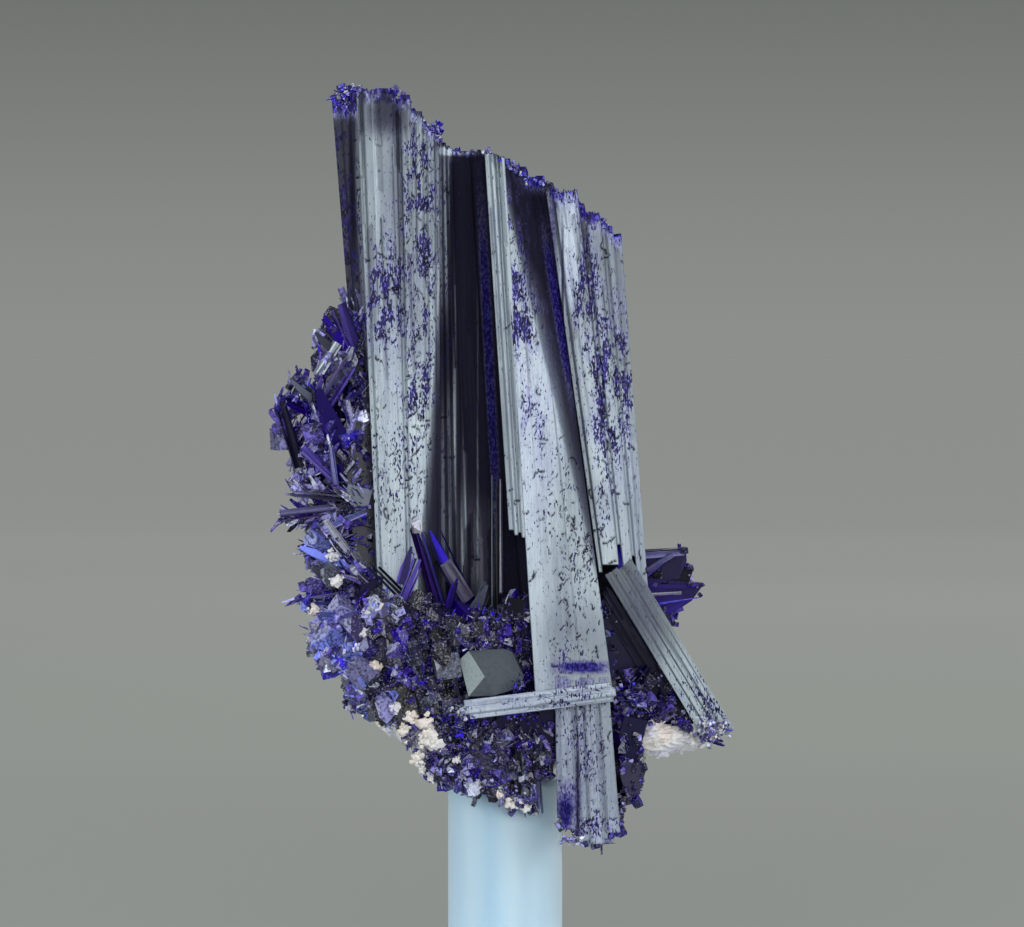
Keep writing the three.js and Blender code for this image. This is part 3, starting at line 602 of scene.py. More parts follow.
def cut_corner(bm, plane_co, plane_no):
    geometry = bm.verts[:] + bm.edges[:] + bm.faces[:]
    cut = bmesh.ops.bisect_plane(bm, geom=geometry, plane_co=plane_co, plane_no=plane_no,
                                 clear_outer=True, dist=0.0001)["geom_cut"]
    bmesh.ops.holes_fill(bm, edges=[g for g in cut if isinstance(g, bmesh.types.BMEdge)], sides=0)


def blade_template(aspect, cuts):
    """A flat prism one unit wide, thick and long, with bevelled long edges and a chisel tip."""
    bm = bmesh.new()
    bmesh.ops.create_cube(bm, size=1)
    bmesh.ops.translate(bm, vec=(0, 0, 0.5), verts=bm.verts)
    long_edges = [e for e in bm.edges if abs(e.verts[0].co.z - e.verts[1].co.z) > 0.5]
    bmesh.ops.bevel(bm, geom=long_edges, offset=0.2, offset_type="OFFSET", affect="EDGES", segments=1,
                    profile=0.5, material=-1)
    for lean_x, lean_y, height in cuts:
        cut_corner(bm, (0, 0, height), Vector((lean_x, lean_y, 1.0 / aspect)).normalized())
    return as_template(bm)


def blade_templates(aspect):
    reach = 0.5 / aspect
    return [blade_template(aspect, cuts) for cuts in (
        ((0.9, 0.1, 1 - reach * 0.6), (-0.5, 0.2, 1 - reach * 0.5)),
        ((0.3, 0.8, 1 - reach * 0.4), (-0.9, -0.3, 1 - reach * 0.7)),
        ((0.6, -0.6, 1 - reach * 0.3),),
        ((0.2, 0.3, 1 - reach * 0.2), (1.2, 0.0, 1 - reach), (-1.2, 0.1, 1 - reach)),
    )]


BLADES = {aspect: blade_templates(aspect) for aspect in (1.5, 3, 7)}


def sparkle(dice, colour, count, glints):
    """One painted shade and one mattness for each face: most faces are painted lighter or darker at random,
    as lit and shaded facets, and a few get a painted highlight, mixed towards pale.
    """
    shades, matt = np.empty((count, 3)), np.empty(count)
    for k in range(count):
        painted_highlight = dice.random() < glints
        strength = dice.choice((0.35, 0.6, 0.8, 1.0, 1.3, 1.9))
        shades[k] = [mix(c, p, 0.65) if painted_highlight else c * strength for c, p in zip(colour, PALE)]
        matt[k] = dice.choice((0.08, 0.12, 0.35, 0.6, 0.7))
    return shades, matt


def across_axis(axis, spin):
    across = axis.cross(Vector((0, -1, 0)))
    across = across.normalized() if across.length > 0.1 else Vector((1, 0, 0))
    return Matrix.Rotation(math.radians(spin), 3, axis) @ across


def add_blade(bm, dice, root, tip, width, thick, spin, colour, glints=0.06):
    """Places one blade. Each of its faces gets its own painted light or shade, and a few a painted highlight.
    """
    root, tip = Vector(root), Vector(tip)
    length = (tip - root).length
    template = dice.choice(BLADES[min(BLADES, key=lambda a: abs(math.log(a * width / length)))])
    axis = (tip - root).normalized()
    across = across_axis(axis, spin)
    turn = Matrix((across, axis.cross(across), axis)).transposed().to_4x4()
    place = Matrix.Translation(root) @ turn @ Matrix.Diagonal((width, thick, length, 1))
    put_template(bm, template, place, *sparkle(dice, colour, len(template[2]), glints))


def add_bundle(bm, dice, root, tip, width, thick, spin, colour):
    """A larger crystal: a main blade with thinner ones grown along it, so that its face is stepped."""
    add_blade(bm, dice, root, tip, width, thick, spin, colour, 0.03)
    root, tip = Vector(root), Vector(tip)
    across = across_axis((tip - root).normalized(), spin)
    for side in (-1, 1):
        shift = across * side * width * dice.uniform(0.2, 0.36)
        tone = tuple(c * dice.uniform(0.7, 1.4) for c in colour)
        end = mix(root, tip, dice.uniform(0.8, 0.99))
        add_blade(bm, dice, root + shift, end + shift, width * dice.uniform(0.15, 0.3),
                  thick * dice.uniform(1.03, 1.15), spin, tone, 0.03)


def small_crystal_material(name, quiet, glint, relief, gloss):
    """Colours by the mesh's tints. quiet and glint are how much a fine grain darkens and brightens them;
    glint also scatters painted glints of pale lavender over them. relief is how rough the grain looks and
    gloss how much light the faces throw back."""
    material, nodes, links, shader = new_material(name)
    tint = attribute_node(nodes, "tint", "Color")
    fine = noise_node(nodes, links, (3300, 3300, 3300), 4)
    base = mix_node(nodes, links, "MULTIPLY", 1.0, tint,
                    ramp_node(nodes, links, fine, ((0.38, quiet), (0.50, 1), (0.60, 1 + glint / 2))))
    grain = noise_node(nodes, links, (5200, 5200, 5200), 2)
    glint_flecks = ramp_node(nodes, links, grain, ((0.585, 0), (0.64, glint)))
    base = mix_node(nodes, links, "MIX", glint_flecks, base, (0.42, 0.42, 0.66, 1))
    links.new(base, shader.inputs["Base Color"])
    shader.inputs["IOR"].default_value = 1.6
    shader.inputs["Specular IOR Level"].default_value = gloss
    links.new(attribute_node(nodes, "matt"), shader.inputs["Roughness"])
    bump = bump_node(nodes, links, fine, relief, 0.08 * MM)
    links.new(bump.outputs["Normal"], shader.inputs["Normal"])
    return material


azurite_blade = small_crystal_material("azurite_blade", 0.85, 0.0, 0.12, 0.25)
azurite_crust = small_crystal_material("azurite_crust", 0.3, 0.5, 0.6, 0.5)

# The larger blades, as root, tip, width, thickness, spin and colour.
LARGE_BLADES = (
    ((-12.6, -1.5, 56.5), (-14.7, -2.6, 61.7), 1.7, 0.5, 30, VIOLET),
    ((-12.8, -1.5, 56.5), (-15.8, -2.9, 60.9), 1.7, 0.5, 20, DEEP),
    ((-12.8, -2.0, 55.6), (-16.6, -3.0, 59.4), 2.0, 0.6, 30, STEEL_SHEEN),
    ((-14.6, -2.5, 58.4), (-16.3, -4.0, 55.6), 1.0, 0.4, 0, PALE),
    ((-16.0, -3.0, 53.6), (-13.6, -5.2, 57.6), 0.6, 0.4, 15, LAVENDER),
    ((-15.4, -3.2, 52.8), (-13.2, -5.0, 56.4), 0.5, 0.3, 15, VIOLET),
    ((-15.2, -0.5, 51.5), (-19.7, -1.8, 53.8), 1.6, 0.6, 40, DEEP),
    ((-15.4, -1.0, 52.4), (-18.7, -2.6, 55.5), 1.3, 0.5, -20, STEEL_SHEEN),
    ((-18.0, -2.0, 47.6), (-19.7, -2.6, 53.3), 1.1, 0.5, 10, INK),
    ((-16.6, -0.5, 48.4), (-19.6, -0.9, 50.6), 1.2, 0.5, 60, VIOLET),
    ((-13.0, -2.8, 47.0), (-16.0, -4.0, 54.6), 3.4, 0.8, -8, DEEP),
    ((-14.7, -2.5, 45.2), (-15.2, -5.2, 49.6), 0.7, 0.5, 20, LAVENDER),
    ((-14.6, -2.4, 46.2), (-17.8, -4.6, 49.3), 1.0, 0.5, 25, VIOLET),
    ((-12.4, -3.0, 44.9), (-18.8, -5.0, 45.7), 1.0, 0.8, 0, STEEL_SHEEN),
    ((-13.2, -3.0, 44.2), (-19.6, -4.0, 43.4), 1.1, 0.8, -10, LAVENDER),
    ((-13.6, -2.4, 43.6), (-17.1, -4.4, 42.6), 1.0, 0.5, 30, VIOLET),
    ((-12.2, -3.4, 43.8), (-15.9, -5.4, 42.3), 0.6, 0.5, 0, LAVENDER),
    ((-13.6, -3.0, 39.0), (-17.2, -5.0, 42.7), 1.6, 0.5, 10, SKY),
    ((-13.4, -3.2, 39.4), (-15.9, -5.6, 43.0), 1.4, 0.5, -20, PALE),
    ((-13.4, -3.0, 39.2), (-17.9, -4.8, 40.9), 1.6, 0.6, 0, SKY),
    ((-13.4, -3.2, 36.6), (-18.2, -4.2, 36.3), 1.7, 0.7, 0, VIOLET),
    ((-13.2, -3.0, 37.2), (-16.9, -4.6, 38.6), 1.3, 0.6, 40, STEEL_SHEEN),
    ((-5.6, -5.0, 35.6), (-7.7, -8.1, 42.8), 1.5, 1.0, -20, (0.030, 0.015, 0.150)),
    ((-3.0, -4.6, 35.2), (-6.6, -7.4, 42.7), 2.1, 1.1, 12, DEEP),
    ((-4.9, -6.9, 39.0), (-6.5, -8.1, 42.3), 0.9, 0.4, 12, (0.018, 0.006, 0.330)),
    ((-3.2, -5.9, 36.2), (-5.1, -7.4, 39.5), 1.2, 0.4, 12, (0.130, 0.120, 0.190)),
    ((-7.6, -8.0, 42.2), (-7.7, -8.5, 43.0), 0.9, 0.7, 0, (0.420, 0.430, 0.520)),
    ((-8.9, -7.3, 37.6), (-8.0, -8.2, 40.9), 1.1, 0.5, 0, VIOLET),
    ((-9.4, -6.2, 34.6), (-7.3, -8.4, 39.8), 1.1, 0.6, 10, VIOLET),
    ((-5.6, -6.0, 33.4), (-4.2, -8.2, 38.2), 1.0, 0.6, 30, DEEP),
    ((-7.6, -6.4, 35.2), (-11.8, -7.6, 39.4), 1.2, 0.7, 20, INK),
    ((-2.8, -5.5, 34.4), (-1.4, -7.2, 37.6), 1.5, 0.9, 0, STEEL_SHEEN),
    ((-11.6, -3.5, 33.4), (-16.8, -6.2, 32.2), 2.3, 1.2, 10, LAVENDER),
    ((-11.4, -4.0, 34.0), (-16.2, -7.0, 34.3), 2.0, 1.0, -15, SKY),
    ((-11.2, -4.2, 32.2), (-15.9, -7.2, 30.8), 1.9, 1.3, 0, LAVENDER),
    ((-10.6, -6.0, 29.0), (-14.3, -8.2, 31.4), 2.0, 1.5, 0, LAVENDER),
    ((-8.0, -6.8, 33.2), (-8.1, -9.2, 31.0), 0.9, 0.6, 0, LAVENDER),
    ((-5.2, -6.5, 28.0), (-9.6, -8.6, 30.2), 1.5, 0.8, 20, INK),
    ((3.7, -5.4, 28.0), (3.7, -6.5, 20.4), 1.2, 0.8, 0, STEEL_SHEEN),
    ((-0.6, -5.4, 25.2), (-0.8, -8.2, 19.2), 1.3, 1.1, 10, VIOLET),
    ((-2.2, -5.4, 24.8), (-2.4, -8.6, 19.6), 1.4, 1.0, -15, STEEL_SHEEN),
    ((-4.2, -5.2, 24.6), (-4.5, -8.2, 20.1), 1.6, 1.2, 10, VIOLET),
    ((2.6, -5.6, 21.0), (2.9, -7.6, 17.5), 1.0, 0.8, -20, LAVENDER),
    ((16.0, -2.4, 24.4), (19.6, -4.2, 23.3), 1.0, 0.7, 20, DEEP),
    ((9.6, -3.6, 27.0), (12.2, -6.0, 30.6), 1.1, 0.6, 30, INK),
    ((12.6, -3.0, 25.4), (14.4, -6.0, 27.2), 1.0, 0.7, 15, VIOLET),
    ((9.4, -4.0, 25.0), (10.6, -6.8, 27.0), 1.0, 0.7, 15, VIOLET),
    ((12.0, 0.0, 40.1), (15.9, -0.6, 40.4), 0.5, 4.0, 0, LAVENDER),
    ((12.4, -1.6, 38.6), (14.6, -2.2, 39.9), 0.5, 0.5, 0, LAVENDER),
    ((12.2, -1.6, 37.9), (13.8, -2.2, 39.2), 0.4, 0.4, 0, VIOLET),
    ((12.0, -1.9, 36.4), (15.4, -2.2, 36.6), 0.3, 0.3, 0, PALE),
    ((12.0, -1.9, 35.4), (17.0, -2.0, 36.2), 0.4, 0.3, 0, ROYAL),
    ((12.2, -1.5, 34.2), (15.6, -1.6, 35.2), 0.4, 0.4, 0, VIOLET),
    ((10.0, -4.4, 40.8), (9.8, -5.6, 38.1), 1.1, 0.6, 0, ROYAL),
    ((-1.15, -2.6, 32.0), (-1.15, -3.6, 47.0), 0.16, 0.5, 0, SLATE_HIGHLIGHT),
    ((-0.5, -2.6, 33.0), (-0.6, -3.4, 46.6), 0.7, 0.5, 0, (0.075, 0.078, 0.105)),
)
bm = bmesh.new()
dice = random.Random(101)
for root, tip, width, thick, spin, colour in LARGE_BLADES:
    in_spray = root[0] < -11.5 and root[2] > LOW
    forward = Vector((0, -0.9 if in_spray else 0, 0))
    add_bundle(bm, dice, Vector(root) + forward, Vector(tip) + forward, width, thick, spin, colour)


def block_template():
    """A cube one unit wide with two opposite corners cut off."""
    bm = bmesh.new()
    bmesh.ops.create_cube(bm, size=1)
    for corner in (Vector((1, 1, 1)), Vector((-1, -1, -1))):
        cut_corner(bm, corner * 0.3, corner.normalized())
    return as_template(bm)


BLOCK = block_template()


def turned(turn):
    spin = Matrix.Rotation(math.radians(turn[2]), 4, "Z") @ Matrix.Rotation(math.radians(turn[1]), 4, "Y")
    return spin @ Matrix.Rotation(math.radians(turn[0]), 4, "X")


def add_block(bm, dice, centre, size, turn, colour, painted_highlight=None):
    """A stubby crystal with two cut corners. The last colour, if given, is a painted highlight on the face
    that looks most to the front left, towards the lamps.
    """
    spin = turned(turn)
    place = Matrix.Translation(Vector(centre)) @ spin @ Matrix.Diagonal((*size, 1))
    normals = BLOCK[2] @ np.array(spin.to_3x3()).T
    shades, matt = sparkle(dice, colour, len(normals), 0)
    if painted_highlight:
        shades[np.argmax(normals @ np.array((-0.45, -0.85, 0.25)))] = painted_highlight
    put_template(bm, BLOCK, place, shades, matt)


# Stubby crystals, as centre, size, turn, colour and the colour of a painted highlight on the face that looks
# towards the lamps. The large ones in ink are the hidden mass that the small crystals grow from.
hearts = []
for centre, size, turn, colour, painted_highlight in (
    ((-8.6, -6.8, 34.4), (3.2, 2.8, 2.9), (12, 30, 14), INK, None),
    ((-9.2, -7.0, 28.0), (2.2, 2.4, 2.0), (10, -15, 20), LAVENDER, None),
    ((-14.0, -6.0, 31.8), (2.4, 2.2, 1.9), (25, 10, -30), STEEL_SHEEN, None),
    ((-11.0, -8.2, 35.2), (1.4, 2.4, 1.4), (10, 30, 40), LAVENDER, (0.85, 0.82, 0.8)),
    ((-13.0, -3.6, 45.2), (2.2, 3.2, 1.5), (0, 15, 8), STEEL_SHEEN, SLATE_HIGHLIGHT),
    ((-15.6, -2.4, 51.6), (3.2, 2.8, 3.6), (15, 25, 30), INK, DEEP),
    ((-3.0, -6.4, 33.6), (4.2, 3.4, 3.2), (30, 15, 40), DEEP, None),
    ((2.4, -4.6, 33.6), (3.4, 3.2, 5.4), (5, 20, 8), INK, None),
    ((10.7, -5.4, 20.6), (2.1, 2.6, 3.2), (8, 15, 10), INK, (0.045, 0.040, 0.090)),
    ((10.2, -4.4, 24.0), (2.2, 4.0, 4.6), (10, 12, 20), INK, DEEP),
    ((-14.2, -1.0, 47.6), (4.6, 4.2, 6.0), (10, 40, 15), INK, None),
    ((-13.6, -1.6, 41.6), (3.6, 4.2, 5.2), (30, 20, 10), INK, None),
    ((-13.6, -0.4, 54.6), (3.6, 3.4, 6.6), (14, 10, 25), INK, None),
    ((-10.6, -2.6, 35.0), (7.4, 6.4, 6.8), (10, 12, 20), INK, None),
    ((-4.2, -2.8, 31.4), (8.8, 8.2, 8.8), (8, 6, 12), INK, None),
    ((3.2, -2.2, 31.6), (8.8, 7.4, 9.2), (5, 8, 6), INK, None),
    ((9.4, -1.6, 31.4), (7.0, 6.2, 8.8), (8, 10, 12), INK, None),
    ((-5.6, -5.2, 27.2), (5.2, 3.8, 4.8), (12, 10, 35), INK, None),
    ((1.0, -6.0, 25.2), (8.0, 2.6, 4.8), (4, 6, 5), INK, None),
    ((6.2, -5.0, 28.4), (5.4, 3.4, 7.4), (4, 6, 10), INK, None),
    ((-12.6, -1.8, 44.0), (3.4, 5.4, 15.8), (0, 4, 8), INK, None),
    ((13.2, -2.2, 27.2), (5.4, 3.4, 4.4), (10, 8, 30), INK, None),
    ((-4.6, -6.8, 23.4), (3.3, 2.3, 4.4), (0, 0, 20), INK, None),
    ((-1.6, -6.9, 22.2), (3.6, 2.3, 4.8), (0, 0, 8), INK, None),
    ((14.0, 0.2, 37.2), (3.4, 2.4, 4.4), (0, 20, 10), INK, None),
    ((-10.4, -4.8, 29.8), (5.0, 3.2, 4.0), (0, -30, 20), DEEP, None),
    ((-7.4, -6.0, 27.6), (4.0, 3.0, 3.4), (0, -20, 10), DEEP, None),
):
    add_block(bm, dice, centre, size, turn, colour, painted_highlight)
    if min(size) > 2.0 and colour is INK and not painted_highlight:
        hearts.append((Vector(centre), size, turn))


def hull_faces(bm, points):
    """A solid crystal that spans the points."""
    made = [bm.verts.new(point) for point in points]
    hull = bmesh.ops.convex_hull(bm, input=made)["geom"]
    return [g for g in hull if isinstance(g, bmesh.types.BMFace)]


def paint(bm, face, shade, mattness):
    tint, matt = bm.loops.layers.float_color["tint"], bm.loops.layers.float["matt"]
    for loop in face.loops:
        loop[tint], loop[matt] = (*shade, 1), mattness


# The fan at the right: broad thin plates, dark, that stand out sideways from behind the right crystal.
# Each has an outline, as x and z, and reaches from one depth to the other.
DUSK = (0.014, 0.008, 0.075)
NIGHT = (0.012, 0.003, 0.120)
for corners, depths, colour in (
    (((11.8, 40.3), (15.8, 40.5), (15.9, 39.4), (15.2, 37.8), (11.8, 37.6)), (-1.4, 1.8), DUSK),
    (((11.8, 38.0), (17.4, 37.4), (16.3, 35.9), (13.2, 33.9), (11.8, 34.2)), (-1.7, 1.4), NIGHT),
    (((12.2, 37.4), (17.2, 37.3), (15.8, 37.0), (12.2, 37.0)), (-2.0, -1.4), DEEP),
    (((12.2, 36.2), (16.4, 36.0), (13.6, 34.3), (12.2, 34.4)), (-1.9, -1.5), DEEP),
    (((12.2, 40.1), (15.6, 40.3), (15.7, 39.9), (12.2, 39.6)), (-1.8, -1.2), LAVENDER),
):
    # Each face is painted a little lighter or darker at random, as lit and shaded facets.
    for face in hull_faces(bm, [(x, y, z) for x, z in corners for y in depths]):
        strength = dice.uniform(0.7, 1.4)
        paint(bm, face, [c * strength for c in colour], 0.65)

# The clean, blocky crystal that sits beside the centre crystal. Its faces are painted lit or shaded by the
# way they face: the left one a pale grey-green highlight, the top mid grey and the right side dark.
corners = (
    (-3.95, -8.1, 31.05), (-3.15, -8.6, 31.85), (-1.75, -9.7, 29.65), (-3.15, -8.9, 27.9),
    (-0.25, -8.2, 32.0), (0.6, -7.8, 31.75), (1.65, -8.0, 29.55), (-0.9, -8.9, 28.0), (1.1, -8.0, 28.6),
    (0.5, -8.9, 30.2), (-3.9, -5.4, 30.8), (-2.8, -5.4, 28.2), (0.9, -5.4, 31.4), (1.2, -5.4, 28.8),
)
for face in hull_faces(bm, corners):
    face.normal_update()
    if face.normal.x < -0.45 and face.normal.y < -0.3:
        shade = (0.330, 0.400, 0.410)
    elif face.normal.z > 0.25:
        shade = (0.090, 0.105, 0.125)
    elif face.normal.x > 0.5:
        shade = (0.028, 0.018, 0.050)
    else:
        shade = (0.110, 0.128, 0.150)
    paint(bm, face, shade, 0.3)
finish_mesh(bm, "large_blades", azurite_blade, ["azurite"])

# The crust: thousands of small blades, rooted on the surface of the solid stone and leaning at random.
# Each part of the crust has its own mixture of colours, and its own sizes.
MIXTURES = {
    "flank": ((INK, 3), (DEEP, 4.5), (ROYAL, 1.2), (VIOLET, 5), (LAVENDER, 4.2), (PALE, 2)),
    "corner": ((SKY, 5), (LAVENDER, 6), (VIOLET, 4), (DEEP, 2), (ROYAL, 2), (PALE, 4), (INK, 1)),
    "base": ((INK, 10), (DEEP, 3.4), (ROYAL, 0.9), (VIOLET, 0.6), (STEEL_SHEEN, 1), (LAVENDER, 0.2)),
    "hem": ((VIOLET, 3), (DEEP, 4), (LAVENDER, 1.4), (INK, 5), (PALE, 0.7), (STEEL_SHEEN, 1)),
    "right": ((INK, 4), (DEEP, 4), (VIOLET, 2), (LAVENDER, 0.5)),
    "fan": ((INK, 3), (DEEP, 4), (VIOLET, 2), (LAVENDER, 0.6)),
    "rim": ((ROYAL, 3), (DEEP, 2), (VIOLET, 3), (LAVENDER, 3), (SKY, 2), (PALE, 1.6)),
    "back": ((DEEP, 3), (VIOLET, 2), (INK, 2.5), (LAVENDER, 0.8), (ROYAL, 1)),
}
# How many blades each part gets, their least and greatest length, and the share of stubby ones.
CROWDING = {
    "flank": (2100, 0.5, 2.2, 0.12), "corner": (1900, 0.3, 1.9, 0.5), "base": (2400, 0.25, 1.5, 0.45),
    "hem": (1500, 0.25, 1.4, 0.6), "right": (700, 0.3, 1.3, 0.7), "fan": (60, 0.3, 0.8, 0.9),
    "rim": (2600, 0.2, 0.5, 1.0), "back": (800, 0.4, 1.5, 0.3),
}
CROWNS = ((-16, 79.8), (-13, 80.8), (-9, 80.2), (-7, 78.0), (-5, 76.0), (-1.5, 75.2), (1.5, 73.4), (5, 71.0),
          (7, 69.6), (9, 67.6), (10.5, 64.5))


def crown_height(x):
    """Height of the broken top above a place, left to right."""
    for (x0, z0), (x1, z1) in zip(CROWNS, CROWNS[1:]):
        if x <= x1:
            return mix(z0, z1, max(0, (x - x0) / (x1 - x0)))
    return CROWNS[-1][1]


def part_of_crust(p):
    """Names the part of the crust that a point of the stone's surface belongs to, or none."""
    x, y, z = p
    if z > crown_height(x) - 0.9:
        return "rim"
    if z > 62:
        return None
    if x < along((-11.9, -15.4), z) - 0.2 and z > 36:
        return "flank" if y < 4 else None
    if x > 12.6 and z > 32.5:
        return "fan"
    if -4.3 < x < 1.9 and 27.4 < z < 32.4 and y < -6.4:
        return None
    if y > 1.0 and z < 36 + 2 * math.sin(x):
        return "back"
    in_centre = along((2.0, -0.7), z) - 0.1 < x < along((8.3, 2.5), z) + 0.3 if z > 29 else 4.1 < x < 9.7
    if y < -5.2 and in_centre and z > 17.4:
        return None
    if y < -5.8 and 25.4 < z < 29.6 and x > -3.4:
        return None
    if x > 8.6:
        return "right" if z < 30 and (x - 18) * 1.6 < 24 - z - 1.5 else None
    if z < 25.5:
        return "hem"
    if x < -8.8:
        return "corner" if z < 36.5 else ("flank" if x < -12.0 else None)
    return "base" if z < 35 and y < -3 else None


# A face with a longer edge than this may reach into more than one part of the crust.
LONG_EDGE = 6


def crust_spots(seed):
    """Points spread evenly over the stone's surface, each with its part of the crust, normal and length."""
    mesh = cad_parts["azurite"].data
    dice = random.Random(seed)
    by_part = {name: [] for name in CROWDING}
    for polygon in mesh.polygons:
        corners = [mesh.vertices[i].co * PER_METRE for i in polygon.vertices]
        part = part_of_crust(sum(corners, Vector()) / len(corners))
        edge = max((corners[0] - corners[1]).length, (corners[1] - corners[2]).length)
        if edge > LONG_EDGE or part is None:
            for _ in range(3):
                guess = random_point(corners, dice)
                part = part or part_of_crust(guess)
        if part:
            by_part[part].append((polygon.area, corners, polygon.normal.copy()))
    for name, (count, low, high, _) in CROWDING.items():
        areas = [entry[0] for entry in by_part[name]]
        if not areas:
            continue
        for _ in range(count):
            area, corners, normal = dice.choices(by_part[name], areas)[0]
            point = random_point(corners, dice)
            if part_of_crust(point) == name:
                yield name, point, normal, mix(low, high, dice.random() ** 2.2)


def random_point(corners, dice):
    a, b = dice.random(), dice.random()
    if a + b > 1:
        a, b = 1 - a, 1 - b
    return corners[0] + (corners[1] - corners[0]) * a + (corners[2] - corners[0]) * b


def paler(colour, share):
    return tuple(mix(c, p, share) for c, p in zip(colour, PALE))


def any_turn(dice):
    return [dice.uniform(0, 90) for _ in range(3)]


# The post shows in a gap between the centre crystal's foot and the crust, so nothing grows there.
GAP_LEFT, GAP_RIGHT, GAP_TOP, GAP_BACK = 2.6, 4.6, 20.8, -3


def add_crystal(bm, dice, point, axis, length, colours, stubby):
    """Adds one small crystal that grows from point: a blade, or by the share stubby a block."""
    if GAP_LEFT < point.x < GAP_RIGHT and point.z < GAP_TOP and point.y < GAP_BACK:
        return
    colour = dice.choices([c for c, _ in colours], [w for _, w in colours])[0]
    if dice.random() < stubby:
        size = tuple(length * dice.uniform(0.4, 1.0) for _ in range(3))
        turn = any_turn(dice)
        # Some blocks get the face towards the lamps painted paler as a highlight.
        painted_highlight = paler(colour, 0.6) if dice.random() < 0.12 else None
        add_block(bm, dice, point - axis * length * 0.1, size, turn, colour, painted_highlight)
    else:
        width = length * dice.uniform(0.18, 0.45)
        thick = width * dice.uniform(0.4, 1.0)
        spin = dice.uniform(0, 180)
        add_blade(bm, dice, point - axis * 0.6, point + axis * length * 0.8, width, thick, spin, colour, 0.08)


left, front, rear = bmesh.new(), bmesh.new(), bmesh.new()
dice = random.Random(211)
for part, point, normal, length in crust_spots(307):
    if part == "rim":
        point = point - normal * 0.3
        point.y = min(point.y, 4.0)
    if part == "flank":
        rising, level = Vector((0.45, -0.4, 1.0)), Vector((-1.0, -0.4, 0.15 + math.sin(point.z)))
        spray = rising if point.z > 46.5 else level
        lean = spray * 1.3 + Vector(dice.gauss(0, 0.35) for _ in "xyz")
    else:
        lean = Vector(dice.gauss(0, 0.6) for _ in "xyz")
    axis = (normal + lean).normalized()
    bm = {"fan": rear, "back": rear, "rim": rear, "flank": left, "corner": left}.get(part, front)
    add_crystal(bm, dice, point, axis, length, MIXTURES[part], CROWDING[part][3])

# Crystals also grow on the hidden mass, where it looks out to the front or the left.
LEFT_CRUST_EDGE = -8.8
for centre, size, turn in hearts:
    for _ in range(int((size[0] * size[2] + size[1] * size[2]) * 5)):
        face = dice.randrange(3)
        side = Vector(dice.choice((-1, 1)) if k == face else 0 for k in range(3))
        spot = Vector(side[k] if k == face else dice.uniform(-1, 1) for k in range(3))
        normal = turned(turn).to_3x3() @ side
        point = centre + turned(turn).to_3x3() @ Vector(spot[k] * size[k] / 2 for k in range(3))
        part = part_of_crust(point)
        in_spray = point.x < -10.8 and point.z > LOW
        if normal.y < 0.3 and (part or point.y < -5 or in_spray):
            axis = (normal + Vector(dice.gauss(0, 0.5) for _ in "xyz")).normalized()
            bm = left if point.x < LEFT_CRUST_EDGE else front
            length = mix(0.3, 1.3, dice.random() ** 2)
            add_crystal(bm, dice, point, axis, length, MIXTURES[part or "base"], 0.5)

# Larger stubby crystals stand in the crust of the base, dark, some with the face that looks towards the lamps
# painted slate grey as a highlight.
for _ in range(120):
    x, z = dice.uniform(-11.5, -0.8), dice.uniform(26.5, 37.5)
    if z > 34 + 2.4 * (x < -7) or (x > -4.6 and z < 33):
        continue
    colour = dice.choice((INK, INK, INK, DEEP, (0.030, 0.028, 0.030), (0.045, 0.040, 0.034), STEEL_SHEEN))
    size = [dice.uniform(0.7, 2.3) for _ in range(3)]
    y = dice.uniform(-8.2, -7.0)
    add_block(front, dice, (x, y, z), size, any_turn(dice), colour, SLATE_HIGHLIGHT if dice.random() < 0.12 else None)

# The corner at the lower left has broad blocks, each with the face that looks towards the lamps painted
# paler, in light blue, as a highlight.
for centre, size, turn, colour in (
    ((-15.0, -6.6, 32.6), (2.9, 2.0, 2.2), (20, 25, 35), SKY),
    ((-12.6, -7.8, 30.2), (2.8, 2.0, 2.2), (30, 35, 20), LAVENDER),
    ((-10.6, -7.9, 27.0), (2.0, 1.8, 1.8), (15, 40, 30), LAVENDER),
    ((-16.2, -4.9, 41.2), (2.0, 1.6, 1.5), (35, 10, 40), SKY),
    ((-13.2, -7.2, 33.9), (2.2, 1.7, 1.5), (10, 55, 30), VIOLET),
    ((-14.2, -6.4, 35.4), (1.7, 1.5, 1.6), (40, 20, 25), LAVENDER),
    ((-9.4, -8.0, 31.6), (1.7, 1.4, 1.9), (25, 30, 40), VIOLET),
    ((-9.9, -7.9, 34.2), (2.2, 1.6, 2.4), (15, 35, 20), INK),
    ((-15.2, -4.9, 38.4), (1.9, 1.5, 1.6), (30, 45, 20), STEEL_SHEEN),
    ((-11.6, -8.1, 32.0), (1.6, 1.4, 1.4), (45, 15, 30), DEEP),
):
    add_block(left, dice, centre, size, turn, colour, paler(colour, 0.5))

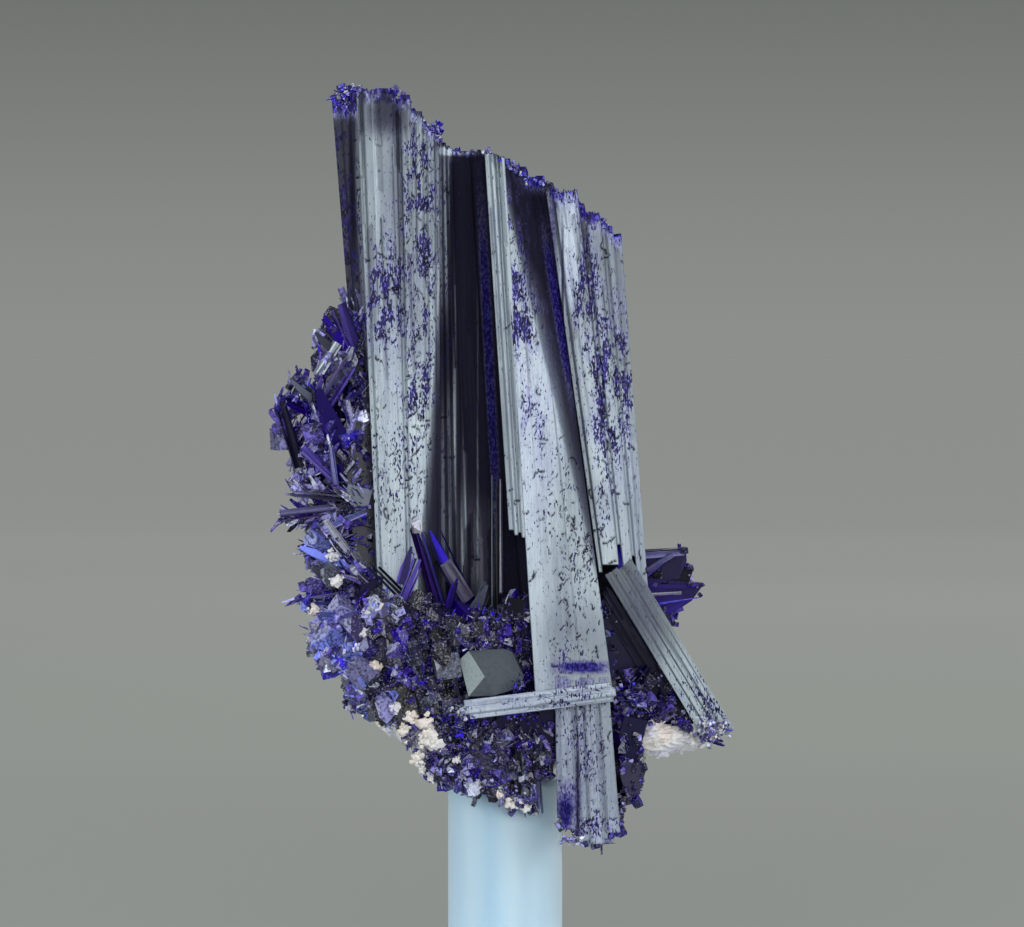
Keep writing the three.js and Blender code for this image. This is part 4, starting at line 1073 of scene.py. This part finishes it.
# Druses: patches of tiny crystals, as centre, reach, count, least and greatest length, and colours.
BLUE = ((ROYAL, 4), (DEEP, 4), (INK, 2), (LAVENDER, 0.7))
FROST = ((PALE, 3), (LAVENDER, 3), (VIOLET, 2), (DEEP, 1), ((0.75, 0.72, 0.70), 2))
DARK = ((INK, 4), (DEEP, 3), (VIOLET, 1.4), (LAVENDER, 0.4))
for centre, reach, count, low, high, colours in (
    ((-2.6, -7.5, 33.9), (1.8, 0.4, 1.3), 240, 0.15, 0.5, BLUE),
    ((-2.4, -8.0, 32.4), (1.4, 0.3, 0.5), 70, 0.15, 0.4, FROST[:4]),
    ((1.1, -8.4, 28.8), (0.6, 0.3, 0.7), 50, 0.15, 0.4, BLUE),
    ((-4.4, -8.2, 25.4), (1.5, 0.4, 1.1), 190, 0.2, 0.6, BLUE),
    ((1.0, -7.9, 26.4), (1.1, 0.3, 0.7), 90, 0.15, 0.45, BLUE),
    ((10.6, -5.8, 27.2), (0.9, 0.4, 1.6), 110, 0.2, 0.6, BLUE),
    ((-6.0, -7.5, 29.4), (1.1, 0.4, 2.0), 150, 0.2, 0.6, BLUE),
    ((17.9, -5.2, 24.8), (1.1, 0.3, 0.8), 190, 0.2, 0.6, FROST),
    ((15.4, -3.8, 25.9), (1.2, 0.4, 0.6), 60, 0.2, 0.5, FROST),
    ((12.4, -4.2, 25.9), (1.2, 0.4, 0.7), 70, 0.2, 0.6, DARK),
    ((-5.9, -7.9, 22.3), (0.8, 0.4, 0.9), 120, 0.2, 0.5, DARK),
    ((-6.9, -7.7, 22.0), (0.25, 0.3, 0.9), 60, 0.15, 0.35, FROST),
    ((-5.9, -7.7, 21.0), (0.9, 0.3, 0.25), 60, 0.15, 0.35, FROST),
    ((-3.9, -8.1, 22.2), (0.7, 0.4, 1.3), 110, 0.2, 0.6, DARK),
    ((-1.6, -8.3, 20.2), (1.2, 0.3, 0.35), 90, 0.15, 0.4, FROST),
    ((0.8, -8.1, 18.8), (1.1, 0.3, 0.5), 130, 0.15, 0.45, FROST),
    ((-3.6, -8.1, 20.5), (1.0, 0.3, 0.4), 80, 0.15, 0.4, DARK),
    ((-2.6, -7.6, 24.2), (1.6, 0.3, 1.4), 110, 0.2, 0.8, DARK),
    ((6.7, -8.0, 15.4), (1.6, 0.3, 0.25), 190, 0.15, 0.4, FROST[:3]),
    ((-13.9, -6.6, 32.8), (2.0, 0.5, 1.6), 260, 0.2, 0.7, FROST + BLUE),
    ((-11.6, -7.2, 30.6), (1.8, 0.5, 1.4), 200, 0.2, 0.6, FROST + BLUE),
    ((-9.0, -7.6, 28.0), (1.5, 0.5, 1.3), 180, 0.2, 0.6, FROST + DARK),
    ((-11.4, -6.6, 35.2), (1.2, 0.5, 1.6), 130, 0.2, 0.7, FROST + DARK),
    ((-15.9, -4.6, 40.6), (1.0, 0.5, 1.2), 80, 0.2, 0.6, FROST),
    ((-14.9, -4.4, 37.2), (1.2, 0.5, 1.4), 120, 0.2, 0.8, DARK + BLUE),
    ((-13.8, -2.7, 79.7), (0.9, 0.3, 0.9), 130, 0.2, 0.6, FROST[:3] + BLUE[:2]),
    ((-3.7, -9.0, 26.5), (0.7, 0.3, 0.5), 70, 0.15, 0.4, FROST),
    ((-11.4, -5.6, 27.4), (1.0, 1.0, 0.8), 150, 0.2, 0.6, FROST),
    ((-9.6, -6.0, 25.9), (1.0, 1.2, 0.7), 150, 0.2, 0.6, FROST),
    ((-8.0, -6.6, 24.4), (0.7, 1.2, 0.9), 130, 0.2, 0.6, FROST),
):
    for _ in range(count):
        offset = Vector(dice.gauss(0, 0.6) * r for r in reach)
        outward = Vector((offset.x / reach[0], -1.2, offset.z / reach[2]))
        axis = (outward + Vector(dice.gauss(0, 0.5) for _ in "xyz")).normalized()
        bm = left if centre[0] < LEFT_CRUST_EDGE else front
        add_crystal(bm, dice, Vector(centre) + offset, axis, dice.uniform(low, high), colours, 0.5)
finish_mesh(left, "left_crust", azurite_crust, ["azurite"])
finish_mesh(front, "front_crust", azurite_crust, ["azurite"])
finish_mesh(rear, "rim_and_back_crust", azurite_crust, ["azurite"])

# Matrix
# The rock under the crystals is a pale, crumbly clay stone, cream with a little pink and grey. It holds the
# crystals from behind, and is seen in front only as crumbs and as the crust at the lower right.
bm = bmesh.new()
bm.from_mesh(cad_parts["matrix"].data)
bmesh.ops.scale(bm, vec=(PER_METRE, PER_METRE, PER_METRE), verts=bm.verts)
bmesh.ops.remove_doubles(bm, verts=bm.verts, dist=0.01)
bmesh.ops.subdivide_edges(bm, edges=bm.edges, cuts=3, use_grid_fill=True)
bmesh.ops.smooth_vert(bm, verts=bm.verts, factor=0.5, use_axis_x=True, use_axis_y=True, use_axis_z=True)
dice = random.Random(401)
SEAT_HEIGHT = 20.6
LOWEST_LUMP = 21
for v in bm.verts:
    if v.co.z > SEAT_HEIGHT:
        v.co += v.normal * dice.uniform(-0.22, 0.16)
spots = [(face.calc_center_median(), face.normal.copy()) for face in bm.faces]
matrix_spots = [(centre, normal) for centre, normal in spots if centre.z > LOWEST_LUMP]


def lump_template(seed):
    """A rough little lump, about one unit in radius."""
    bm = bmesh.new()
    dice = random.Random(seed)
    for v in bmesh.ops.create_icosphere(bm, subdivisions=2, radius=1)["verts"]:
        v.co *= dice.uniform(0.72, 1.2)
    return as_template(bm)


# Clumps that show between the crystals, as x, y, z and size. Each is a lump with smaller ones round it.
LUMPS = [lump_template(seed) for seed in (1, 2, 3)]
lumps = []
for x, y, z, size in (
    (-11.2, -8.2, 30.6, 0.9), (-9.4, -8.4, 27.0, 0.9), (-8.2, -8.4, 26.2, 1.0), (-7.0, -8.4, 25.6, 1.2),
    (-6.4, -8.6, 24.6, 1.4), (-5.8, -8.6, 23.8, 1.2), (-6.8, -8.2, 24.0, 1.1), (-10.4, -7.9, 28.2, 0.7),
    (-14.6, -6.6, 37.8, 0.9), (-16.6, -5.0, 35.2, 0.8), (-15.0, -5.5, 40.0, 0.9), (-12.2, -7.6, 33.4, 0.7),
    (-0.6, -8.2, 19.4, 0.8), (0.6, -8.2, 18.6, 0.8), (1.8, -8.0, 18.2, 0.7), (-4.2, -8.4, 22.4, 0.6),
    (10.6, -5.2, 18.9, 0.7), (-12.6, -7.4, 29.6, 0.6), (-8.8, -8.0, 25.0, 0.8), (-7.6, -8.0, 22.6, 0.9),
    (11.9, -3.5, 24.3, 0.8), (13.0, -3.7, 24.0, 0.8), (14.2, -3.8, 23.9, 0.8), (15.4, -3.8, 24.2, 0.8),
    (16.5, -3.8, 24.6, 0.7), (12.4, -3.4, 23.4, 0.7), (13.6, -3.4, 23.3, 0.7), (-7.2, -7.6, 21.6, 0.9),
    (-6.3, -7.7, 20.9, 0.8), (-13.8, -6.9, 30.4, 0.6), (-3.0, -8.3, 20.2, 0.6),
):
    lumps.append((Vector((x, y, z)), size * 0.5))
    for _ in range(20):
        way = Vector(dice.gauss(0, 1) for _ in "xyz").normalized()
        lumps.append((Vector((x, y, z)) + way * size * dice.uniform(0.35, 0.75), dice.uniform(0.06, 0.22)))
for centre, normal in dice.sample(matrix_spots, 400):
    size = dice.uniform(0.1, 0.36)
    lumps.append((centre + normal * size * 0.2, size))
for place, radius in lumps:
    turn = Matrix.Rotation(dice.uniform(0, 6), 4, (0.6, 0.5, 0.62))
    squash = Matrix.Diagonal([radius * dice.uniform(0.7, 1.3) for _ in range(3)]).to_4x4()
    lump = dice.choice(LUMPS)
    count = len(lump[2])
    put_template(bm, lump, Matrix.Translation(place) @ turn @ squash, np.ones((count, 3)), np.ones(count))
material, nodes, links, shader = new_material("clay_rock")
crumbs = noise_node(nodes, links, (2600, 2600, 2600), 5)
stains = noise_node(nodes, links, (420, 420, 420), 3)
base = ramp_node(nodes, links, crumbs, (
    (0.28, (0.66, 0.62, 0.60)), (0.42, (0.92, 0.90, 0.86)), (0.6, (0.98, 0.97, 0.95))))
base = mix_node(nodes, links, "MULTIPLY", 0.8, base, ramp_node(nodes, links, stains, (
    (0.35, (0.78, 0.78, 0.95)), (0.5, (1.0, 1.0, 1.0)), (0.65, (1.0, 0.90, 0.84)))))
links.new(base, shader.inputs["Base Color"])
shader.inputs["Roughness"].default_value = 0.9
bump = bump_node(nodes, links, crumbs, 0.6, 0.12 * MM)
links.new(bump.outputs["Normal"], shader.inputs["Normal"])
finish_mesh(bm, "matrix_rock", material, ["matrix"])

# Stand
# A 10 mm rod of pale blue, milky plastic, moulded in one with a round foot. Its end carries the stone.
bm = bmesh.new()
POST_RADIUS, POST_TOP, FOOT_RADIUS, FOOT_HEIGHT = 5.0, 20.2, 19.0, 4.0
profile = [(0, 0), (FOOT_RADIUS - 0.4, 0), (FOOT_RADIUS, 0.4)]
ARC_STEPS = 8
for centre_x, centre_z, radius, start, end in (
    (FOOT_RADIUS - 1.2, FOOT_HEIGHT - 1.2, 1.2, 0, 90),
    (POST_RADIUS + 1.5, FOOT_HEIGHT + 1.5, 1.5, 270, 180),
    (POST_RADIUS - 0.6, POST_TOP - 0.6, 0.6, 0, 90),
):
    for k in range(ARC_STEPS + 1):
        angle = math.radians(mix(start, end, k / ARC_STEPS))
        profile.append((centre_x + radius * math.cos(angle), centre_z + radius * math.sin(angle)))
profile.append((0, POST_TOP))
line = [bm.verts.new((x, 0, z)) for x, z in profile]
edges = [bm.edges.new(pair) for pair in zip(line, line[1:])]
bmesh.ops.spin(bm, geom=line + edges, cent=(0, 0, 0), axis=(0, 0, 1), angle=math.tau, steps=96,
               use_merge=True)
bmesh.ops.remove_doubles(bm, verts=bm.verts, dist=0.001)
material, nodes, links, shader = new_material("milky_plastic")
streaks = noise_node(nodes, links, (230, 230, 9), 2)
base = ramp_node(nodes, links, streaks, (
    (0.30, (0.510, 0.725, 0.870)), (0.48, (0.590, 0.780, 0.890)), (0.66, (0.690, 0.830, 0.900))))
links.new(base, shader.inputs["Base Color"])
shader.inputs["Roughness"].default_value = 0.42
shader.inputs["Subsurface Weight"].default_value = 0.9
shader.inputs["Subsurface Radius"].default_value = (0.009, 0.010, 0.011)
shader.inputs["Sheen Weight"].default_value = 1.0
shader.inputs["Sheen Tint"].default_value = (0.85, 0.95, 1.0, 1)
fine = noise_node(nodes, links, (3000, 3000, 60), 2)
bump = bump_node(nodes, links, fine, 0.08, 0.03 * MM)
links.new(bump.outputs["Normal"], shader.inputs["Normal"])
stand = finish_mesh(bm, "post_and_foot", material, ["stand"])
for polygon in stand.data.polygons:
    polygon.use_smooth = True
crease = stand.modifiers.new("crease", "EDGE_SPLIT")
crease.split_angle = math.radians(32)

# Studio
# A wide pale floor that runs to the horizon, a plain grey sky a little darker above, and soft lights.
# The paper on the floor is a little darker near the object. The ramp's places are in units of 2.5 metres.
FLOOR_HALF = 40
RAMP_LENGTH = 2.5
sweep = bmesh.new()
bmesh.ops.create_grid(sweep, x_segments=1, y_segments=1, size=FLOOR_HALF)
floor = new_object("floor", as_mesh(sweep, "floor"))
material, nodes, links, shader = new_material("paper")
place, reach = nodes.new("ShaderNodeTexCoord"), nodes.new("ShaderNodeVectorMath")
reach.operation = "LENGTH"
links.new(place.outputs["Object"], reach.inputs[0])
share = nodes.new("ShaderNodeMath")
share.operation = "MULTIPLY"
share.inputs[1].default_value = 1 / RAMP_LENGTH
links.new(reach.outputs["Value"], share.inputs[0])
links.new(ramp_node(nodes, links, share.outputs["Value"], (
    (0.040, (0.435, 0.454, 0.412)), (0.103, (0.466, 0.485, 0.446)), (0.153, (0.498, 0.523, 0.476)),
    (0.222, (0.516, 0.543, 0.496)), (0.319, (0.558, 0.579, 0.542)), (0.467, (0.702, 0.729, 0.684)),
    (0.575, (0.861, 0.881, 0.826)), (0.723, (0.930, 0.960, 0.895)))), shader.inputs["Base Color"])
shader.inputs["Roughness"].default_value = 0.95
shader.inputs["Specular IOR Level"].default_value = 0.1
floor.data.materials.append(material)


def soft_light(name, place, target, size, watts, colour=(1, 1, 1)):
    light = bpy.data.lights.new(name, "AREA")
    light.size, light.energy, light.color = size, watts, colour
    holder = new_object(name, light)
    holder.location = place
    holder.rotation_euler = (Vector(target) - Vector(place)).to_track_quat("-Z", "Y").to_euler()
    holder.visible_camera = False


STONE = (0, 0, 0.048)
soft_light("key", (-0.06, -0.75, 0.16), STONE, 0.36, 1.6)
soft_light("low_fill", (0.2, -0.62, 0.05), (0.01, 0, 0.03), 0.2, 0.7)
soft_light("left_fill", (-0.6, -0.25, 0.35), STONE, 0.3, 1.7, (0.88, 0.92, 1.0))
soft_light("right_fill", (0.6, -0.2, 0.2), STONE, 0.3, 1.2, (0.9, 0.93, 1.0))
soft_light("back", (0.15, 0.85, 0.9), STONE, 0.4, 2.2)
sky_light = bpy.data.lights.new("overhead", "SUN")
sky_light.energy, sky_light.angle = 0.62, math.radians(90)
overhead = new_object("overhead", sky_light)
overhead.rotation_euler = (math.radians(18), 0, 0)
world = bpy.data.worlds.new("studio")
bpy.context.scene.world = world
world.use_nodes = True
nodes, links = world.node_tree.nodes, world.node_tree.links
place, split = nodes.new("ShaderNodeTexCoord"), nodes.new("ShaderNodeSeparateXYZ")
links.new(place.outputs["Generated"], split.inputs["Vector"])
links.new(ramp_node(nodes, links, split.outputs["Z"], (
    (0.0, (0.264, 0.278, 0.264)), (0.014, (0.245, 0.259, 0.246)), (0.031, (0.206, 0.219, 0.209)),
    (0.050, (0.162, 0.174, 0.166)), (0.3, (0.100, 0.105, 0.110)))),
    nodes["Background"].inputs["Color"])
nodes["Background"].inputs["Strength"].default_value = 1.0

camera = new_object("camera", bpy.data.cameras.new("camera"))
VIEW_CENTRE = Vector((0.0006, 0, 0.0479))
VIEW_WIDTH, DISTANCE = 0.0898, 0.6
direction = Vector((0, -math.cos(math.radians(1)), math.sin(math.radians(1))))
camera.location = VIEW_CENTRE + direction * DISTANCE
camera.rotation_euler = (-direction).to_track_quat("-Z", "Y").to_euler()
camera.data.lens = camera.data.sensor_width * DISTANCE / VIEW_WIDTH
camera.data.clip_start = 0.05
camera.data.clip_end = 100
bpy.context.scene.camera = camera
bpy.context.scene.view_settings.view_transform = "Standard"
